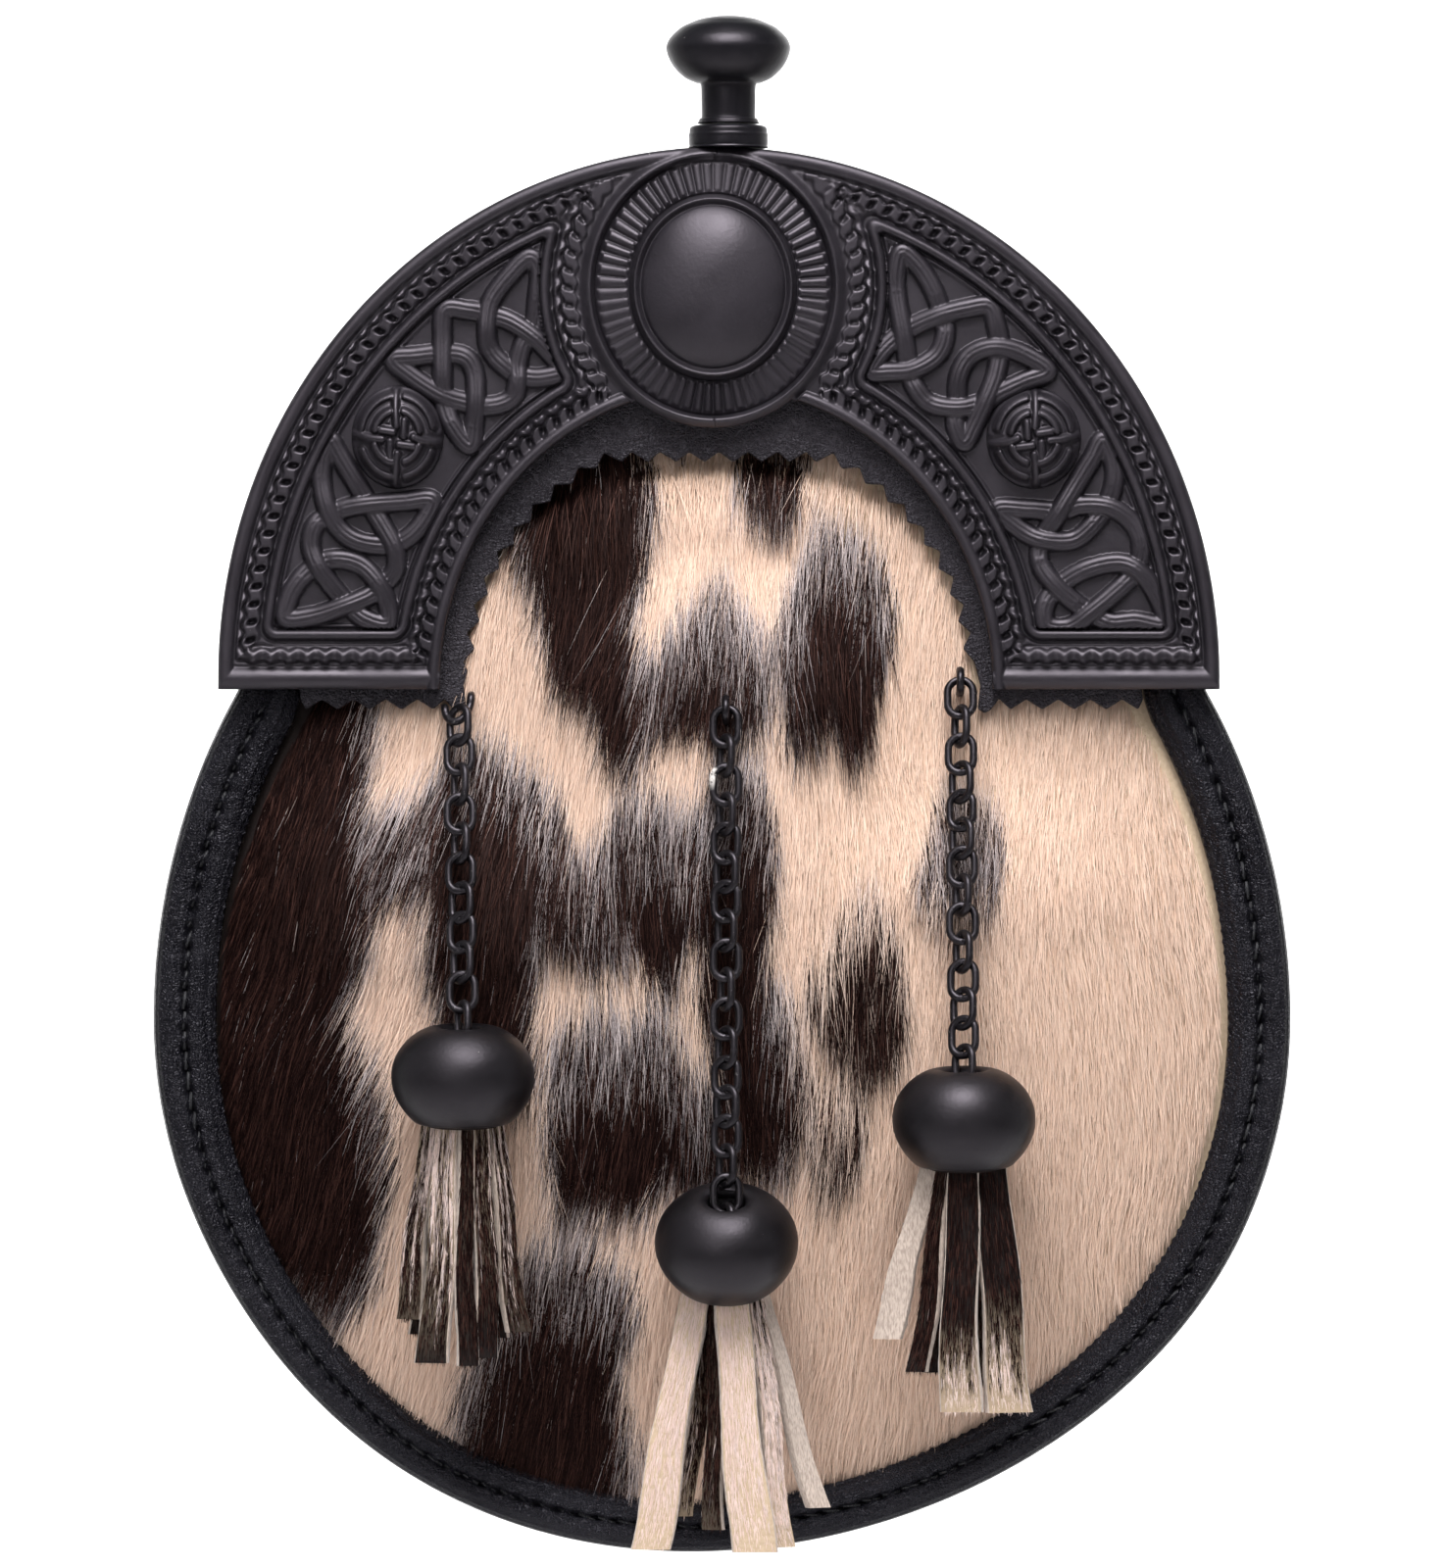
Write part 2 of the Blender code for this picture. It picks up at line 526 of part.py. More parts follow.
def cantle_section(outer, inner, steps, foot_distance):
    """One section across the band, from the outer edge over the front and back behind the plate."""
    width = (inner - outer).length
    across = (inner - outer) / width
    ring = []
    places = steps + [width - distance for distance in reversed(steps)]
    for place in places:
        point = outer + across * place
        nearest = min(place, width - place, foot_distance)
        ring.append((point.x, PLATE_Y - edge_height(nearest), point.y))
    wall = outer + across * (RIM_WALL if outer.y > BORDER_TOP_Z + 0.5 else RIM_WALL_AT_FOOT)
    ring.append((inner.x, PLATE_BACK_Y, inner.y))
    ring.append((wall.x, PLATE_BACK_Y, wall.y))
    ring.append((wall.x, FLANGE_Y - GAP, wall.y))
    ring.append((outer.x, FLANGE_Y - GAP, outer.y))
    return ring


def cantle_ring(angle, steps):
    outer = Vector((
        CANTLE_X + CANTLE_HALF_WIDTH * math.cos(angle), CANTLE_Z + CANTLE_HEIGHT * math.sin(angle),
    ))
    inner = Vector((ARCH_X + ARCH_HALF_WIDTH * math.cos(angle), ARCH_Z + ARCH_HEIGHT * math.sin(angle)))
    return cantle_section(outer, inner, steps, max(steps))


def cantle_ring_at_foot(z, side, steps):
    rise = math.sqrt(max(0.0, 1 - (max(0.0, z - CANTLE_Z) / CANTLE_HEIGHT) ** 2))
    arch = math.sqrt(max(0.0, 1 - (max(0.0, z - ARCH_Z) / ARCH_HEIGHT) ** 2))
    outer = Vector((CANTLE_X + side * CANTLE_HALF_WIDTH * rise, z))
    inner = Vector((ARCH_X + side * ARCH_HALF_WIDTH * arch, z))
    return cantle_section(outer, inner, steps, z - FOOT_Z)


def make_medallion():
    rows = [(*MEDALLION_BACK, PLATE_BACK_Y - MEDALLION_ROOT)]
    for half_width, half_height, height in MEDALLION_PROFILE:
        rows.append((half_width, half_height, PLATE_Y - height))
    rings = []
    for half_width, half_height, y in rows:
        ring = []
        for k in range(MEDALLION_SIDES):
            angle = 2 * math.pi * k / MEDALLION_SIDES
            ring.append((
                MEDALLION_X + half_width * math.cos(angle), y, MEDALLION_Z + half_height * math.sin(angle),
            ))
        rings.append(ring)
    return solid("medallion", *skin(rings), "black_metal")


def make_boss(x, z, half_width, half_height):
    rings = []
    for share, height in BOSS_PROFILE:
        ring = []
        for k in range(BOSS_SIDES):
            angle = 2 * math.pi * k / BOSS_SIDES
            ring.append((
                x + half_width * share * math.cos(angle), PLATE_Y - height,
                z + half_height * share * math.sin(angle),
            ))
        rings.append(ring)
    return solid("boss", *skin(rings), "black_metal")


def strand_runs(knot):
    """The strand's stretches: it breaks where it dives under itself and where it turns sharply back."""
    points = [Vector(row) for row in knot]
    count = len(points)
    breaks = []
    for k, point in enumerate(points):
        before, after = point - points[k - 1], points[(k + 1) % count] - point
        if point.z < 0 or before.xy.angle(after.xy) > SHARP_TURN:
            breaks.append(k)
    runs = []
    for start, end in zip(breaks, breaks[1:] + [breaks[0] + count]):
        run = [points[k % count].copy() for k in range(start, end + 1)]
        for tip, neighbour in ((0, 1), (-1, -2)):
            reach = STRAND_DIVE if run[tip].z < 0 else -STRAND_WIDTH / 3
            run[tip].xy += (run[neighbour].xy - run[tip].xy).normalized() * reach
        runs.append(run)
    return runs


def make_strand(run, step):
    """One stretch of a knot's band, raised where it crosses over and lowered where it dives under."""
    rings = []
    for k, point in enumerate(run):
        along = run[min(k + 1, len(run) - 1)] - run[max(k - 1, 0)]
        across = Vector((-along.y, along.x)).normalized() * STRAND_WIDTH / 2
        top = PLATE_Y - STRAND_RISE - CROSSING_STEP * point.z - STRAND_DRIFT * step
        root = PLATE_Y + STRAND_ROOT + STRAND_DRIFT * step
        crest = across * STRAND_CREST
        rings.append([
            (point.x + across.x, root, point.y + across.y), (point.x + crest.x, top, point.y + crest.y),
            (point.x - crest.x, top, point.y - crest.y), (point.x - across.x, root, point.y - across.y),
        ])
    return solid("strand", *skin(rings), "black_metal")


def make_knob():
    centre = (KNOB_X, KNOB_Y, 0.0)
    for name, profile in (("finial_collar", COLLAR_PROFILE), ("finial_knob", KNOB_PROFILE)):
        knob = solid(name, *skin(turned(profile, centre, 20)), "black_metal")
        knob.data.shade_smooth()
        knob.data.set_sharp_from_angle(angle=math.radians(40))


def tube(path, wire, sides, looped=False, normal=None, turn=0.0):
    """Rings of a wire along a path of points, its facets turned from the normal if there is one."""
    rings = []
    last = len(path) - 1
    for k, point in enumerate(path):
        after = path[(k + 1) % len(path)] if looped else path[min(k + 1, last)]
        before = path[k - 1] if looped or k else path[0]
        along = (after - before).normalized()
        if normal is None:
            normal = along.orthogonal().normalized()
        normal = (normal - along * normal.dot(along)).normalized()
        side = along.cross(normal)
        ring = []
        for j in range(sides):
            angle = 2 * math.pi * j / sides + turn
            ring.append(point + (normal * math.cos(angle) + side * math.sin(angle)) * wire / 2)
        rings.append(ring)
    return rings


def make_staple(side, tassel):
    """A wire loop whose two legs pass through the hide."""
    surface = hide_y(*tassel["crown"])
    first, second = (Vector((x, surface - STAPLE_SHOULDER, z)) for x, z in tassel["feet"])
    crown_x, crown_z = tassel["crown"]
    middle = (first + second) / 2
    swell = Vector((crown_x, surface - STAPLE_REACH, crown_z)) - middle
    root = Vector((0, STAPLE_SHOULDER + LEATHER + STAPLE_BEHIND, 0))
    path = [first + root]
    for k in range(7):
        angle = math.pi * k / 6
        path.append(middle + (first - middle) * math.cos(angle) + swell * math.sin(angle))
    path.append(second + root)
    solid("chain_staple_" + side, *skin(tube(path, WIRE, 6)), "chain_metal")


def link(centre, along, flat, pitch):
    """One oval link: along is its long way, flat its plane's other way."""
    straight = (pitch + 2 * WIRE - LINK_BITE - LINK_WIDTH) / 2
    radius = (LINK_WIDTH - WIRE) / 2
    path = []
    for end in (1, -1):
        for k in range(5):
            angle = math.pi * (k / 4 - 0.5)
            path.append(
                centre + along * end * (straight + radius * math.cos(angle))
                + flat * end * radius * math.sin(angle)
            )
    facet_inwards = -math.pi / 10
    return skin(tube(path, WIRE, 5, True, flat.cross(along), facet_inwards), looped=True)


def taut(points):
    """The points that a thread pulled tight over them would touch, on their -Y side."""
    touched = []
    for point in points:
        while len(touched) > 1:
            first, last = touched[-2], touched[-1]
            turn = (last.z - first.z) * (point.y - first.y) - (last.y - first.y) * (point.z - first.z)
            if turn < 0:
                break
            touched.pop()
        touched.append(point)
    return touched


def chain_joints(tassel):
    """Where each link bears on the next, from the staple over the hide's bulge to the bead."""
    x, stand_off, z = tassel["head"]
    head = Vector((x, hide_y(*tassel["crown"]) - stand_off, z))
    tail = bead_centre(tassel) + bead_tilt(tassel) @ Vector((0, -CHAIN_FORWARD * tassel["lean"], CHAIN_END))
    over = [head]
    for k in range(1, 30):
        point = head.lerp(tail, k / 30)
        over.append(Vector((point.x, max(tail.y, hide_y(point.x, point.z) - LINK_FROM_HIDE), point.z)))
    route = taut(over + [tail])
    spans = [(end - start).length for start, end in zip(route, route[1:])]
    count = round(sum(spans) / LINK_PITCH)
    joints = []
    for k in range(count + 1):
        left, leg = sum(spans) * k / count, 0
        while leg < len(spans) - 1 and left > spans[leg]:
            left -= spans[leg]
            leg += 1
        joints.append(route[leg].lerp(route[leg + 1], left / spans[leg]))
    return joints


def bead_tilt(tassel):
    return Matrix.Rotation(math.radians(tassel["lean"]), 3, "X")


def bead_centre(tassel):
    """Each bead lies against the hide's bulge."""
    x, z = tassel["bead"]
    radius = BEAD_OUTSIDE[3][0]
    return Vector((x, min(hide_y(x, z + drop) for drop in (0, 3, 6)) - radius - 1.0, z))


def make_chain(side, tassel):
    """Interlocked links fused into one body, every other one turned a quarter."""
    joints = chain_joints(tassel)
    made = []
    for k, (start, end) in enumerate(zip(joints, joints[1:])):
        along = (end - start).normalized()
        face = Vector((1, 0, 0))
        face = (face - along * face.dot(along)).normalized()
        edge = along.cross(face)
        flat = face if (k % 2 == 0) == tassel["face_on"] else edge
        shape = link((start + end) / 2, along, flat, (end - start).length)
        made.append(solid("chain_" + side if k == 0 else "link", *shape, "chain_metal"))
    fuse(made[0], made[1:])
    return joints[-1] + along * LINK_PITCH / 2, along, edge if flat == face else face


def make_bead(side, tassel):
    profile = BEAD_OUTSIDE + BEAD_INSIDE
    rings = turned(profile, bead_centre(tassel), 14, tassel["lean"])
    solid("bead_" + side, *skin(rings, looped=True), "black_metal")


def strap_rings(tassel, strap):
    """Sections of a strap from its root in the plug to its foot, near the hide."""
    top_x, top_y, foot_x, foot_z, width, turn = strap
    root = Vector((top_x * STRAP_GATHER, top_y * STRAP_GATHER, PLUG_FOOT + STRAP_ROOT))
    top = bead_centre(tassel) + bead_tilt(tassel) @ root
    foot = Vector((tassel["bead"][0] + foot_x, 0, foot_z))
    foot.y = min(top.y, hide_y(foot.x, foot.z + 8) - STRAP_FROM_HIDE) + top_y / 4
    bow = STRAP_BOW if top_y < 0 else STRAP_BOW_BEHIND
    rings = []
    for k in range(4):
        t = k / 3
        spine = top.lerp(foot, t)
        spine.y = top.y + (foot.y - top.y) * t ** STRAP_FALL - bow * math.sin(math.pi * t)
        angle = math.radians(turn * (1 - STRAP_UNTURN * t))
        half_width = width / 2 * (STRAP_NECK + (1 - STRAP_NECK) * t)
        across = Vector((math.cos(angle), math.sin(angle), 0)) * half_width
        thick = Vector((-math.sin(angle), math.cos(angle), 0)) * STRAP_THICK / 2
        rings.append([
            spine - across - thick, spine + across - thick, spine + across + thick, spine - across + thick,
        ])
    return rings


def make_tassel(side, tassel, eye, along, flat):
    """A plug inside the bead with an eye round the chain's last link, and straps that hang from it."""
    middle = bead_centre(tassel)
    tilt = bead_tilt(tassel)
    plug = turned(((PLUG_RADIUS, PLUG_FOOT), (PLUG_RADIUS, PLUG_TOP)), middle, 10, tassel["lean"])
    head = solid("tassel_" + side, *skin(plug), "tassel_hide")
    parts = []
    eye_centre = eye - along * EYE_PLAY
    parts.append(solid("eye", *link(eye_centre, along, flat, LINK_PITCH), "tassel_hide"))
    shank = (
        eye_centre + along * (LINK_PITCH + WIRE) / 2,
        middle + tilt @ Vector((0, 0, PLUG_TOP - SHANK_ROOT)),
    )
    parts.append(solid("shank", *skin(tube(shank, SHANK, 6)), "tassel_hide"))
    parts += [solid("strap", *skin(strap_rings(tassel, strap)), "tassel_hide") for strap in tassel["straps"]]
    fuse(head, parts)


def main():
    for obj in list(bpy.data.objects):
        bpy.data.objects.remove(obj, do_unlink=True)
    make_front_panel()
    make_border()
    make_gusset()
    make_back_panel()
    make_belt_loop("belt_loop_left", -LOOP_X)
    make_belt_loop("belt_loop_right", LOOP_X)
    make_facing()
    make_cantle()
    make_knob()
    for side, tassel in TASSELS.items():
        make_staple(side, tassel)
        eye, along, flat = make_chain(side, tassel)
        make_bead(side, tassel)
        make_tassel(side, tassel, eye, along, flat)


main()
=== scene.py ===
import math

import bmesh
import bpy
import numpy as np
from mathutils import Matrix, Vector


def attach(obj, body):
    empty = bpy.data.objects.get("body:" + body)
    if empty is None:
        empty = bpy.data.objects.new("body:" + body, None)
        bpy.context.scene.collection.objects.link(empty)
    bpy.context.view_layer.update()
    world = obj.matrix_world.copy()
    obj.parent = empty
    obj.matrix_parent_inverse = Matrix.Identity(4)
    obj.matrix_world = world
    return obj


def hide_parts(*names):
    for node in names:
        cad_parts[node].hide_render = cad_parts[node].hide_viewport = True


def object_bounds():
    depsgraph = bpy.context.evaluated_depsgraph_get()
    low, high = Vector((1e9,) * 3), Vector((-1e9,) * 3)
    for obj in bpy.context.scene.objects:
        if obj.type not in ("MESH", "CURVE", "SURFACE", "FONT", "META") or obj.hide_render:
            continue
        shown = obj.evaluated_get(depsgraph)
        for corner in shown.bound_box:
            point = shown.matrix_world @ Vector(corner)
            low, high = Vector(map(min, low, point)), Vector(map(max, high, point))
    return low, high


# The looks of the sporran pouch: hair-on hide, stitched leather border, cast cantle and chain tassels.
# Sizes are in millimetres and MM turns them into metres. The wearer's front is -Y and +Z is up.

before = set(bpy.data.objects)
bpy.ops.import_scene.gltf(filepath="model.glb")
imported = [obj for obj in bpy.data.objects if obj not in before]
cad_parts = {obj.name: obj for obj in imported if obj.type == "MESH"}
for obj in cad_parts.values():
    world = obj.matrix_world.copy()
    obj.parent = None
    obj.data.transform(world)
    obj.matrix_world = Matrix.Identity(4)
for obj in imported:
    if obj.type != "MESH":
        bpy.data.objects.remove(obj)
CAD_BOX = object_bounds()

MM = 0.001
GAP = 0.3  # what pieces that lie on each other keep clear

# ---- outline of the leather body and depth of each layer, as the frame has them
BODY_HALF_WIDTH, BODY_CENTRE_Z, BODY_BELOW, BODY_ABOVE = 90.2, -86.8, 84.6, 99.2
SWAY, SWAY_FROM_Z, SWAY_LENGTH = 3.9, -119.4, 46.5
FOOT_Z = -34.6
BACKING_HALF_WIDTH, BACKING_HEIGHT = 77.3, 82.0
STRAP_GAP = 5.5
BACK_Y, BACK_FRONT_Y = -2.75, -5.25
FLANGE_BACK_Y, FLANGE_Y = -15.0, -17.2
LEATHER = 2.2
BULGE_RISE, BULGE_HALF_WIDTH, BULGE_BELOW, BULGE_ABOVE = 15.0, 80.6, 76.3, 89.3
PRESSED_RISE, PRESSED_EDGE, PRESSED_FADE = 2.9, 14.5, 11.0
COAT_SOFT, COAT_EDGE, COAT_FADE = 7.0, 5.0, 30.0
FACING_BACK_Y, FACING_Y = -20.7, -22.2
PLATE_BACK_Y, PLATE_Y = -22.5, -24.7

# ---- cantle
CANTLE_X, CANTLE_Z, CANTLE_HALF_WIDTH, CANTLE_HEIGHT = -0.5, -32.55, 79.2, 83.7
ARCH_X, ARCH_Z, ARCH_HALF_WIDTH, ARCH_HEIGHT = -0.9, -34.4, 43.7, 47.4
MEDALLION_X, MEDALLION_Z, MEDALLION_HALF_WIDTH, MEDALLION_HALF_HEIGHT = -1.4, 28.95, 20.7, 22.2
PANEL_LEVEL, BAND_LEVEL = -0.5, 0.15  # heights over the plate
# steps round each of its edges, down each foot, and from one edge to the other
CANTLE_STEPS, CANTLE_STRAIGHT_STEPS, CANTLE_ROWS = 520, 11, 170
CANTLE_WALL = 0.09  # thickness of its outer wall, as a share of the way from edge to edge
OUTER_DROP, ARCH_DROP = 1.6, 1.4  # how far behind the plate its face ends at each edge
# the mouldings that follow each edge of a side: distance in from that edge to the rope, dents and rib
MOULDINGS = {
    "outer": (3.6, 4.95, 7.5), "arch": (3.9, 2.75, 6.6),
    "foot": (5.3, 3.9, 8.6), "medallion": (3.4, 2.3, 6.0),
}
# from one lump of the rope to the next, measured along each edge, and how far its lumps stand up
ROPE_PITCH = {"outer": 2.85, "arch": 2.54, "foot": 2.85, "medallion": 2.9}
ROPE_RISE = {"outer": 0.75, "arch": 1.15, "foot": 0.0, "medallion": 0.7}
# the rolls: half width, height, width with the groove beside it, and how soft the flanks are (1 is round)
OUTER_ROLL, FOOT_ROLL, ARCH_ROLL = (1.2, 1.15, 2.9, 1.0), (1.75, 1.15, 4.1, 1.8), (0.98, 1.0, 1.95, 1.0)
CORNER = 1.6
# distance in from the medallion's edge, height over the plate
MEDALLION_ROWS = ((0.0, 0.1), (1.2, 1.6), (2.15, -0.35))
FLUTES, FLUTE_SIDES = 64, 10
FLUTE_FROM, FLUTE_TO = 2.15, 7.3
RING_FROM, RING_TO = 7.3, 9.3
DOME_FROM, DOME_FOOT, DOME_TOP = 9.35, 2.3, 6.4
BOSSES = {"left": (-51.3, 5.3, 7.3, 8.2), "right": (49.3, 5.1, 7.5, 8.0)}  # x, z, half width, half height
BOSS_HEIGHT, BOSS_BAND = 3.9, 0.078
BOSS_SIDES, BOSS_RINGS = 168, 64
# the boss's bands over its dome, on a circle of radius 1: a bar to each side, then the woven middle
BOSS_BARS = (
    ((-0.03, 0.9), (-0.03, 0.52), (-0.01, 0.2)), ((-0.94, 0.06), (-0.6, -0.03), (-0.32, -0.06)),
    ((0.0, -0.34), (-0.03, -0.6), (-0.04, -0.92)), ((0.36, -0.02), (0.6, -0.1), (0.93, -0.12)),
    ((-0.36, 0.12), (-0.08, 0.08)), ((0.16, 0.3), (0.14, 0.0)), ((0.04, -0.16), (0.36, -0.2)),
    ((-0.15, -0.1), (-0.15, -0.38)),
)
# the arcs in its quarters: radius, and the angles in degrees between which each one runs
BOSS_ARCS = (
    (0.5, 108, 165), (0.5, 12, 74), (0.52, 200, 256), (0.52, 288, 338),
    (0.8, 100, 168), (0.8, 14, 78), (0.8, 200, 258), (0.8, 282, 338),
)
STRAND_HALF = 1.6
STRAND_RISE, CROSSING_STEP = 1.05, 0.45
# each knot is one closed strand: x, z, and 1 where it passes over or -1 where it dives under
KNOTS = {
    "upper_left": (
        (-30.5, 33.6, 0), (-28.9, 31.6, 0), (-29.2, 27.4, 0), (-29.7, 23.1, -1), (-31.4, 20.0, 0),
        (-32.3, 16.8, 0), (-32.3, 14.2, 1), (-33.3, 11.3, 0), (-36.6, 10.1, 0), (-40.7, 10.7, -1),
        (-44.6, 12.0, 0), (-49.0, 14.8, 0), (-52.0, 17.5, 0), (-48.5, 18.0, 0), (-44.2, 18.4, -1),
        (-40.7, 17.9, 0), (-39.1, 15.3, 0), (-38.9, 10.9, 1), (-39.2, 7.4, 0), (-39.9, 3.9, 0),
        (-42.7, 7.2, 0), (-44.0, 11.1, -1), (-44.2, 15.3, 1), (-44.2, 20.9, 0), (-43.8, 25.3, 0),
        (-40.1, 25.2, 0), (-36.6, 24.5, -1), (-33.3, 23.4, 0), (-29.6, 20.9, 1), (-26.8, 18.1, 0),
        (-25.0, 15.7, 0), (-28.7, 14.6, 0), (-32.0, 15.0, -1), (-34.4, 16.5, 0), (-36.6, 19.0, 0),
        (-37.2, 22.2, 1), (-36.6, 26.6, 0), (-33.7, 30.7, 0),
    ),
    "lower_left": (
        (-61.9, 4.6, 0), (-63.0, 2.1, 0), (-63.3, -1.6, 0), (-62.5, -5.7, 1), (-60.7, -9.1, 0),
        (-57.6, -11.3, 0), (-52.9, -11.9, -1), (-49.5, -10.6, 0), (-46.8, -7.5, 0), (-46.0, -4.7, 0),
        (-50.4, -5.0, 0), (-55.7, -5.4, 1), (-59.4, -6.0, 0), (-62.2, -7.1, -1), (-64.4, -8.8, 0),
        (-65.0, -11.9, 0), (-63.8, -15.3, 1), (-61.6, -18.4, 0), (-59.4, -20.9, -1), (-56.6, -23.4, 0),
        (-52.9, -24.3, 0), (-52.9, -21.2, 0), (-54.4, -17.8, 1), (-57.2, -15.0, 0), (-61.0, -14.1, 0),
        (-64.1, -15.0, -1), (-66.9, -17.5, 0), (-68.5, -20.3, 0), (-68.9, -23.4, 0), (-64.7, -23.1, 0),
        (-59.7, -21.5, 1), (-56.0, -20.0, 0), (-53.8, -18.3, -1), (-51.6, -15.6, 0), (-51.8, -12.2, 1),
        (-53.8, -8.5, 0), (-56.0, -5.0, -1), (-58.5, -1.0, 0), (-60.7, 2.7, 0),
    ),
    "upper_right": (
        (28.5, 34.4, 0), (31.3, 32.0, 0), (33.5, 28.3, 0), (34.7, 24.8, -1), (35.3, 21.4, 0),
        (33.9, 18.1, 0), (30.2, 15.9, 1), (26.5, 15.5, 0), (23.5, 15.7, 0), (25.2, 18.7, 0),
        (28.3, 21.6, -1), (31.5, 23.3, 0), (34.8, 24.6, 1), (38.5, 25.5, 0), (42.2, 25.9, 0),
        (43.3, 23.1, 0), (43.9, 19.6, -1), (43.3, 15.3, 0), (41.7, 11.1, 1), (40.0, 7.4, 0),
        (38.3, 4.4, 0), (36.9, 7.4, 0), (37.2, 10.7, -1), (37.4, 14.8, 0), (39.3, 18.1, 0),
        (43.0, 19.4, 1), (47.2, 18.5, 0), (51.5, 15.7, 0), (47.8, 14.0, 0), (43.9, 12.2, 0),
        (41.3, 10.7, -1), (37.4, 9.8, 1), (33.0, 10.5, 0), (30.6, 13.1, 0), (29.6, 16.1, -1),
        (28.7, 21.4, 1), (27.6, 27.9, 0), (27.6, 31.8, 0),
    ),
    "lower_right": (
        (60.2, 4.7, 0), (61.8, 1.7, 0), (62.0, -1.8, 0), (60.7, -5.7, -1), (58.6, -8.7, 0),
        (55.5, -11.1, 0), (51.1, -11.1, 1), (47.6, -9.7, 0), (43.6, -6.2, 0), (48.5, -6.2, 0),
        (53.3, -6.5, -1), (56.7, -5.6, 0), (61.2, -5.9, 1), (64.6, -8.1, 0), (66.2, -11.6, 0),
        (65.6, -15.7, -1), (63.1, -18.5, 0), (58.3, -22.5, 1), (54.9, -24.8, 0), (51.4, -24.5, 0),
        (51.1, -21.4, 0), (53.3, -18.4, -1), (57.4, -15.8, 0), (62.4, -14.7, 0), (65.6, -15.8, 1),
        (68.4, -19.2, 0), (70.3, -24.4, 0), (65.3, -23.9, 0), (61.5, -24.1, 0), (58.2, -22.5, -1),
        (55.5, -20.7, 0), (52.6, -18.1, 1), (50.3, -14.7, 0), (50.6, -11.0, -1), (53.4, -6.5, 1),
        (56.1, -2.1, 0), (58.6, 2.0, 0),
    ),
}

# ---- knob and collar: radius, z
KNOB_X, KNOB_Y = 1.0, -21.6
KNOB_SIDES, KNOB_ROWS = 96, 90
COLLAR_PROFILE = ((0.0, 51.1), (5.7, 51.1), (6.2, 51.6), (6.25, 52.8), (6.2, 53.5), (5.4, 54.7), (0.0, 54.7))
KNOB_PROFILE = (
    (0.0, 55.0), (4.5, 55.0), (4.75, 55.35), (4.55, 55.8), (4.25, 56.1), (4.3, 58.5), (4.4, 61.2),
    (5.2, 61.5), (6.9, 62.3), (8.4, 63.7), (9.3, 65.1), (9.8, 66.6), (9.75, 67.6), (9.1, 68.8),
    (7.6, 70.2), (6.0, 71.0), (4.4, 71.6), (2.2, 72.0), (0.0, 72.1),
)

# ---- pinked facing
PINK_PITCH, PINK_DEPTH, FACING_INSET = 4.65, 1.6, 12.5
FACING_HALF_WIDTH, FACING_HEIGHT, FACING_TOP_Z = 39.7, 38.8, 2.2
FOOT_TOOTH_X, FOOT_TOOTH_PITCH, FOOT_TEETH, FOOT_TIP_Z, FOOT_VALLEY_Z = 45.7, 5.05, 5, -37.8, -36.2
# the lobe at a foot's inner corner, from its notch to the arch: distance from the middle, z
FACING_LOBE = ((43.9, -36.1), (42.6, -37.8), (41.6, -38.4), (40.5, -37.7), (40.9, -34.0), (40.3, -31.6))

# ---- border, gusset, back
BORDER_WIDTH, BORDER_WIDTH_BELOW, BORDER_TOP_Z = 9.9, 8.1, -32.0
GROOVE_SHARE, GROOVE_DEPTH = 0.5, 1.0
# share of the border's width, y of its face
BORDER_ROWS = (
    (0.0, -18.7), (0.04, -20.2), (0.12, -21.3), (0.26, -21.75), (0.4, -21.4), (0.5, -20.9), (0.6, -21.35),
    (0.76, -21.35), (0.9, -20.5), (1.0, -19.5),
)
BORDER_STEPS = 1500
PINK_WIDTH, PINK_REACH = 1.9, 0.35  # the fine teeth along its inner edge
STITCH_PITCH, THREAD, STITCH_Y = 3.4, 0.62, -20.35
BORDER_STITCH, BACK_STITCH_RISE = 2.6, 0.2  # length on the border, and height on the back
GUSSET_INSET, GUSSET_WALL, GUSSET_FOLD = 2.2, 1.8, 2.4
BACK_INSET, BACK_SEAM = 1.5, 2.6
OUTLINE_STEPS = (420, 200)  # below the cantle's feet and over them
MOUTH_HALF_WIDTH, MOUTH_BACK_Z, MOUTH_DIP = 62.0, 26.0, 7.0
LOOP_X, LOOP_WIDTH, LOOP_LEATHER = 28.0, 22.0, 2.0
LOOP_HALF_LENGTH, LOOP_BRIDGE, LOOP_SEAT = 19.0, 10.0, 14.0

# ---- chains, beads and tassels
WIRE, WIRE_SIDES, LINK_WIDTH, LINK_PITCH = 1.25, 12, 5.3, 4.75
STAPLE_REACH, STAPLE_SHOULDER = 5.0, 2.5
LINK_FROM_HIDE = 3.2
# where the paint is worn off one leg of a link on the middle chain
BARE_X, BARE_Z, BARE_LENGTH = -1.15, -48.6, 3.2
BEAD_OUTSIDE = (
    (2.9, 6.3), (3.1, 7.2), (3.6, 7.6), (4.6, 7.75), (6.2, 7.3), (8.0, 6.2), (9.6, 4.6), (10.7, 2.7),
    (11.2, 0.6), (11.1, -1.6), (10.4, -3.7), (9.2, -5.6), (7.9, -7.0), (7.3, -7.4),
)
BEAD_INSIDE = ((6.7, -7.2), (7.9, -5.2), (9.3, -2.2), (9.6, 0.8), (7.7, 4.2), (4.1, 5.6))
BEAD_RADIUS, BEAD_SIDES = 11.2, 96
CHAIN_END, CHAIN_FORWARD = 6.1, 0.02
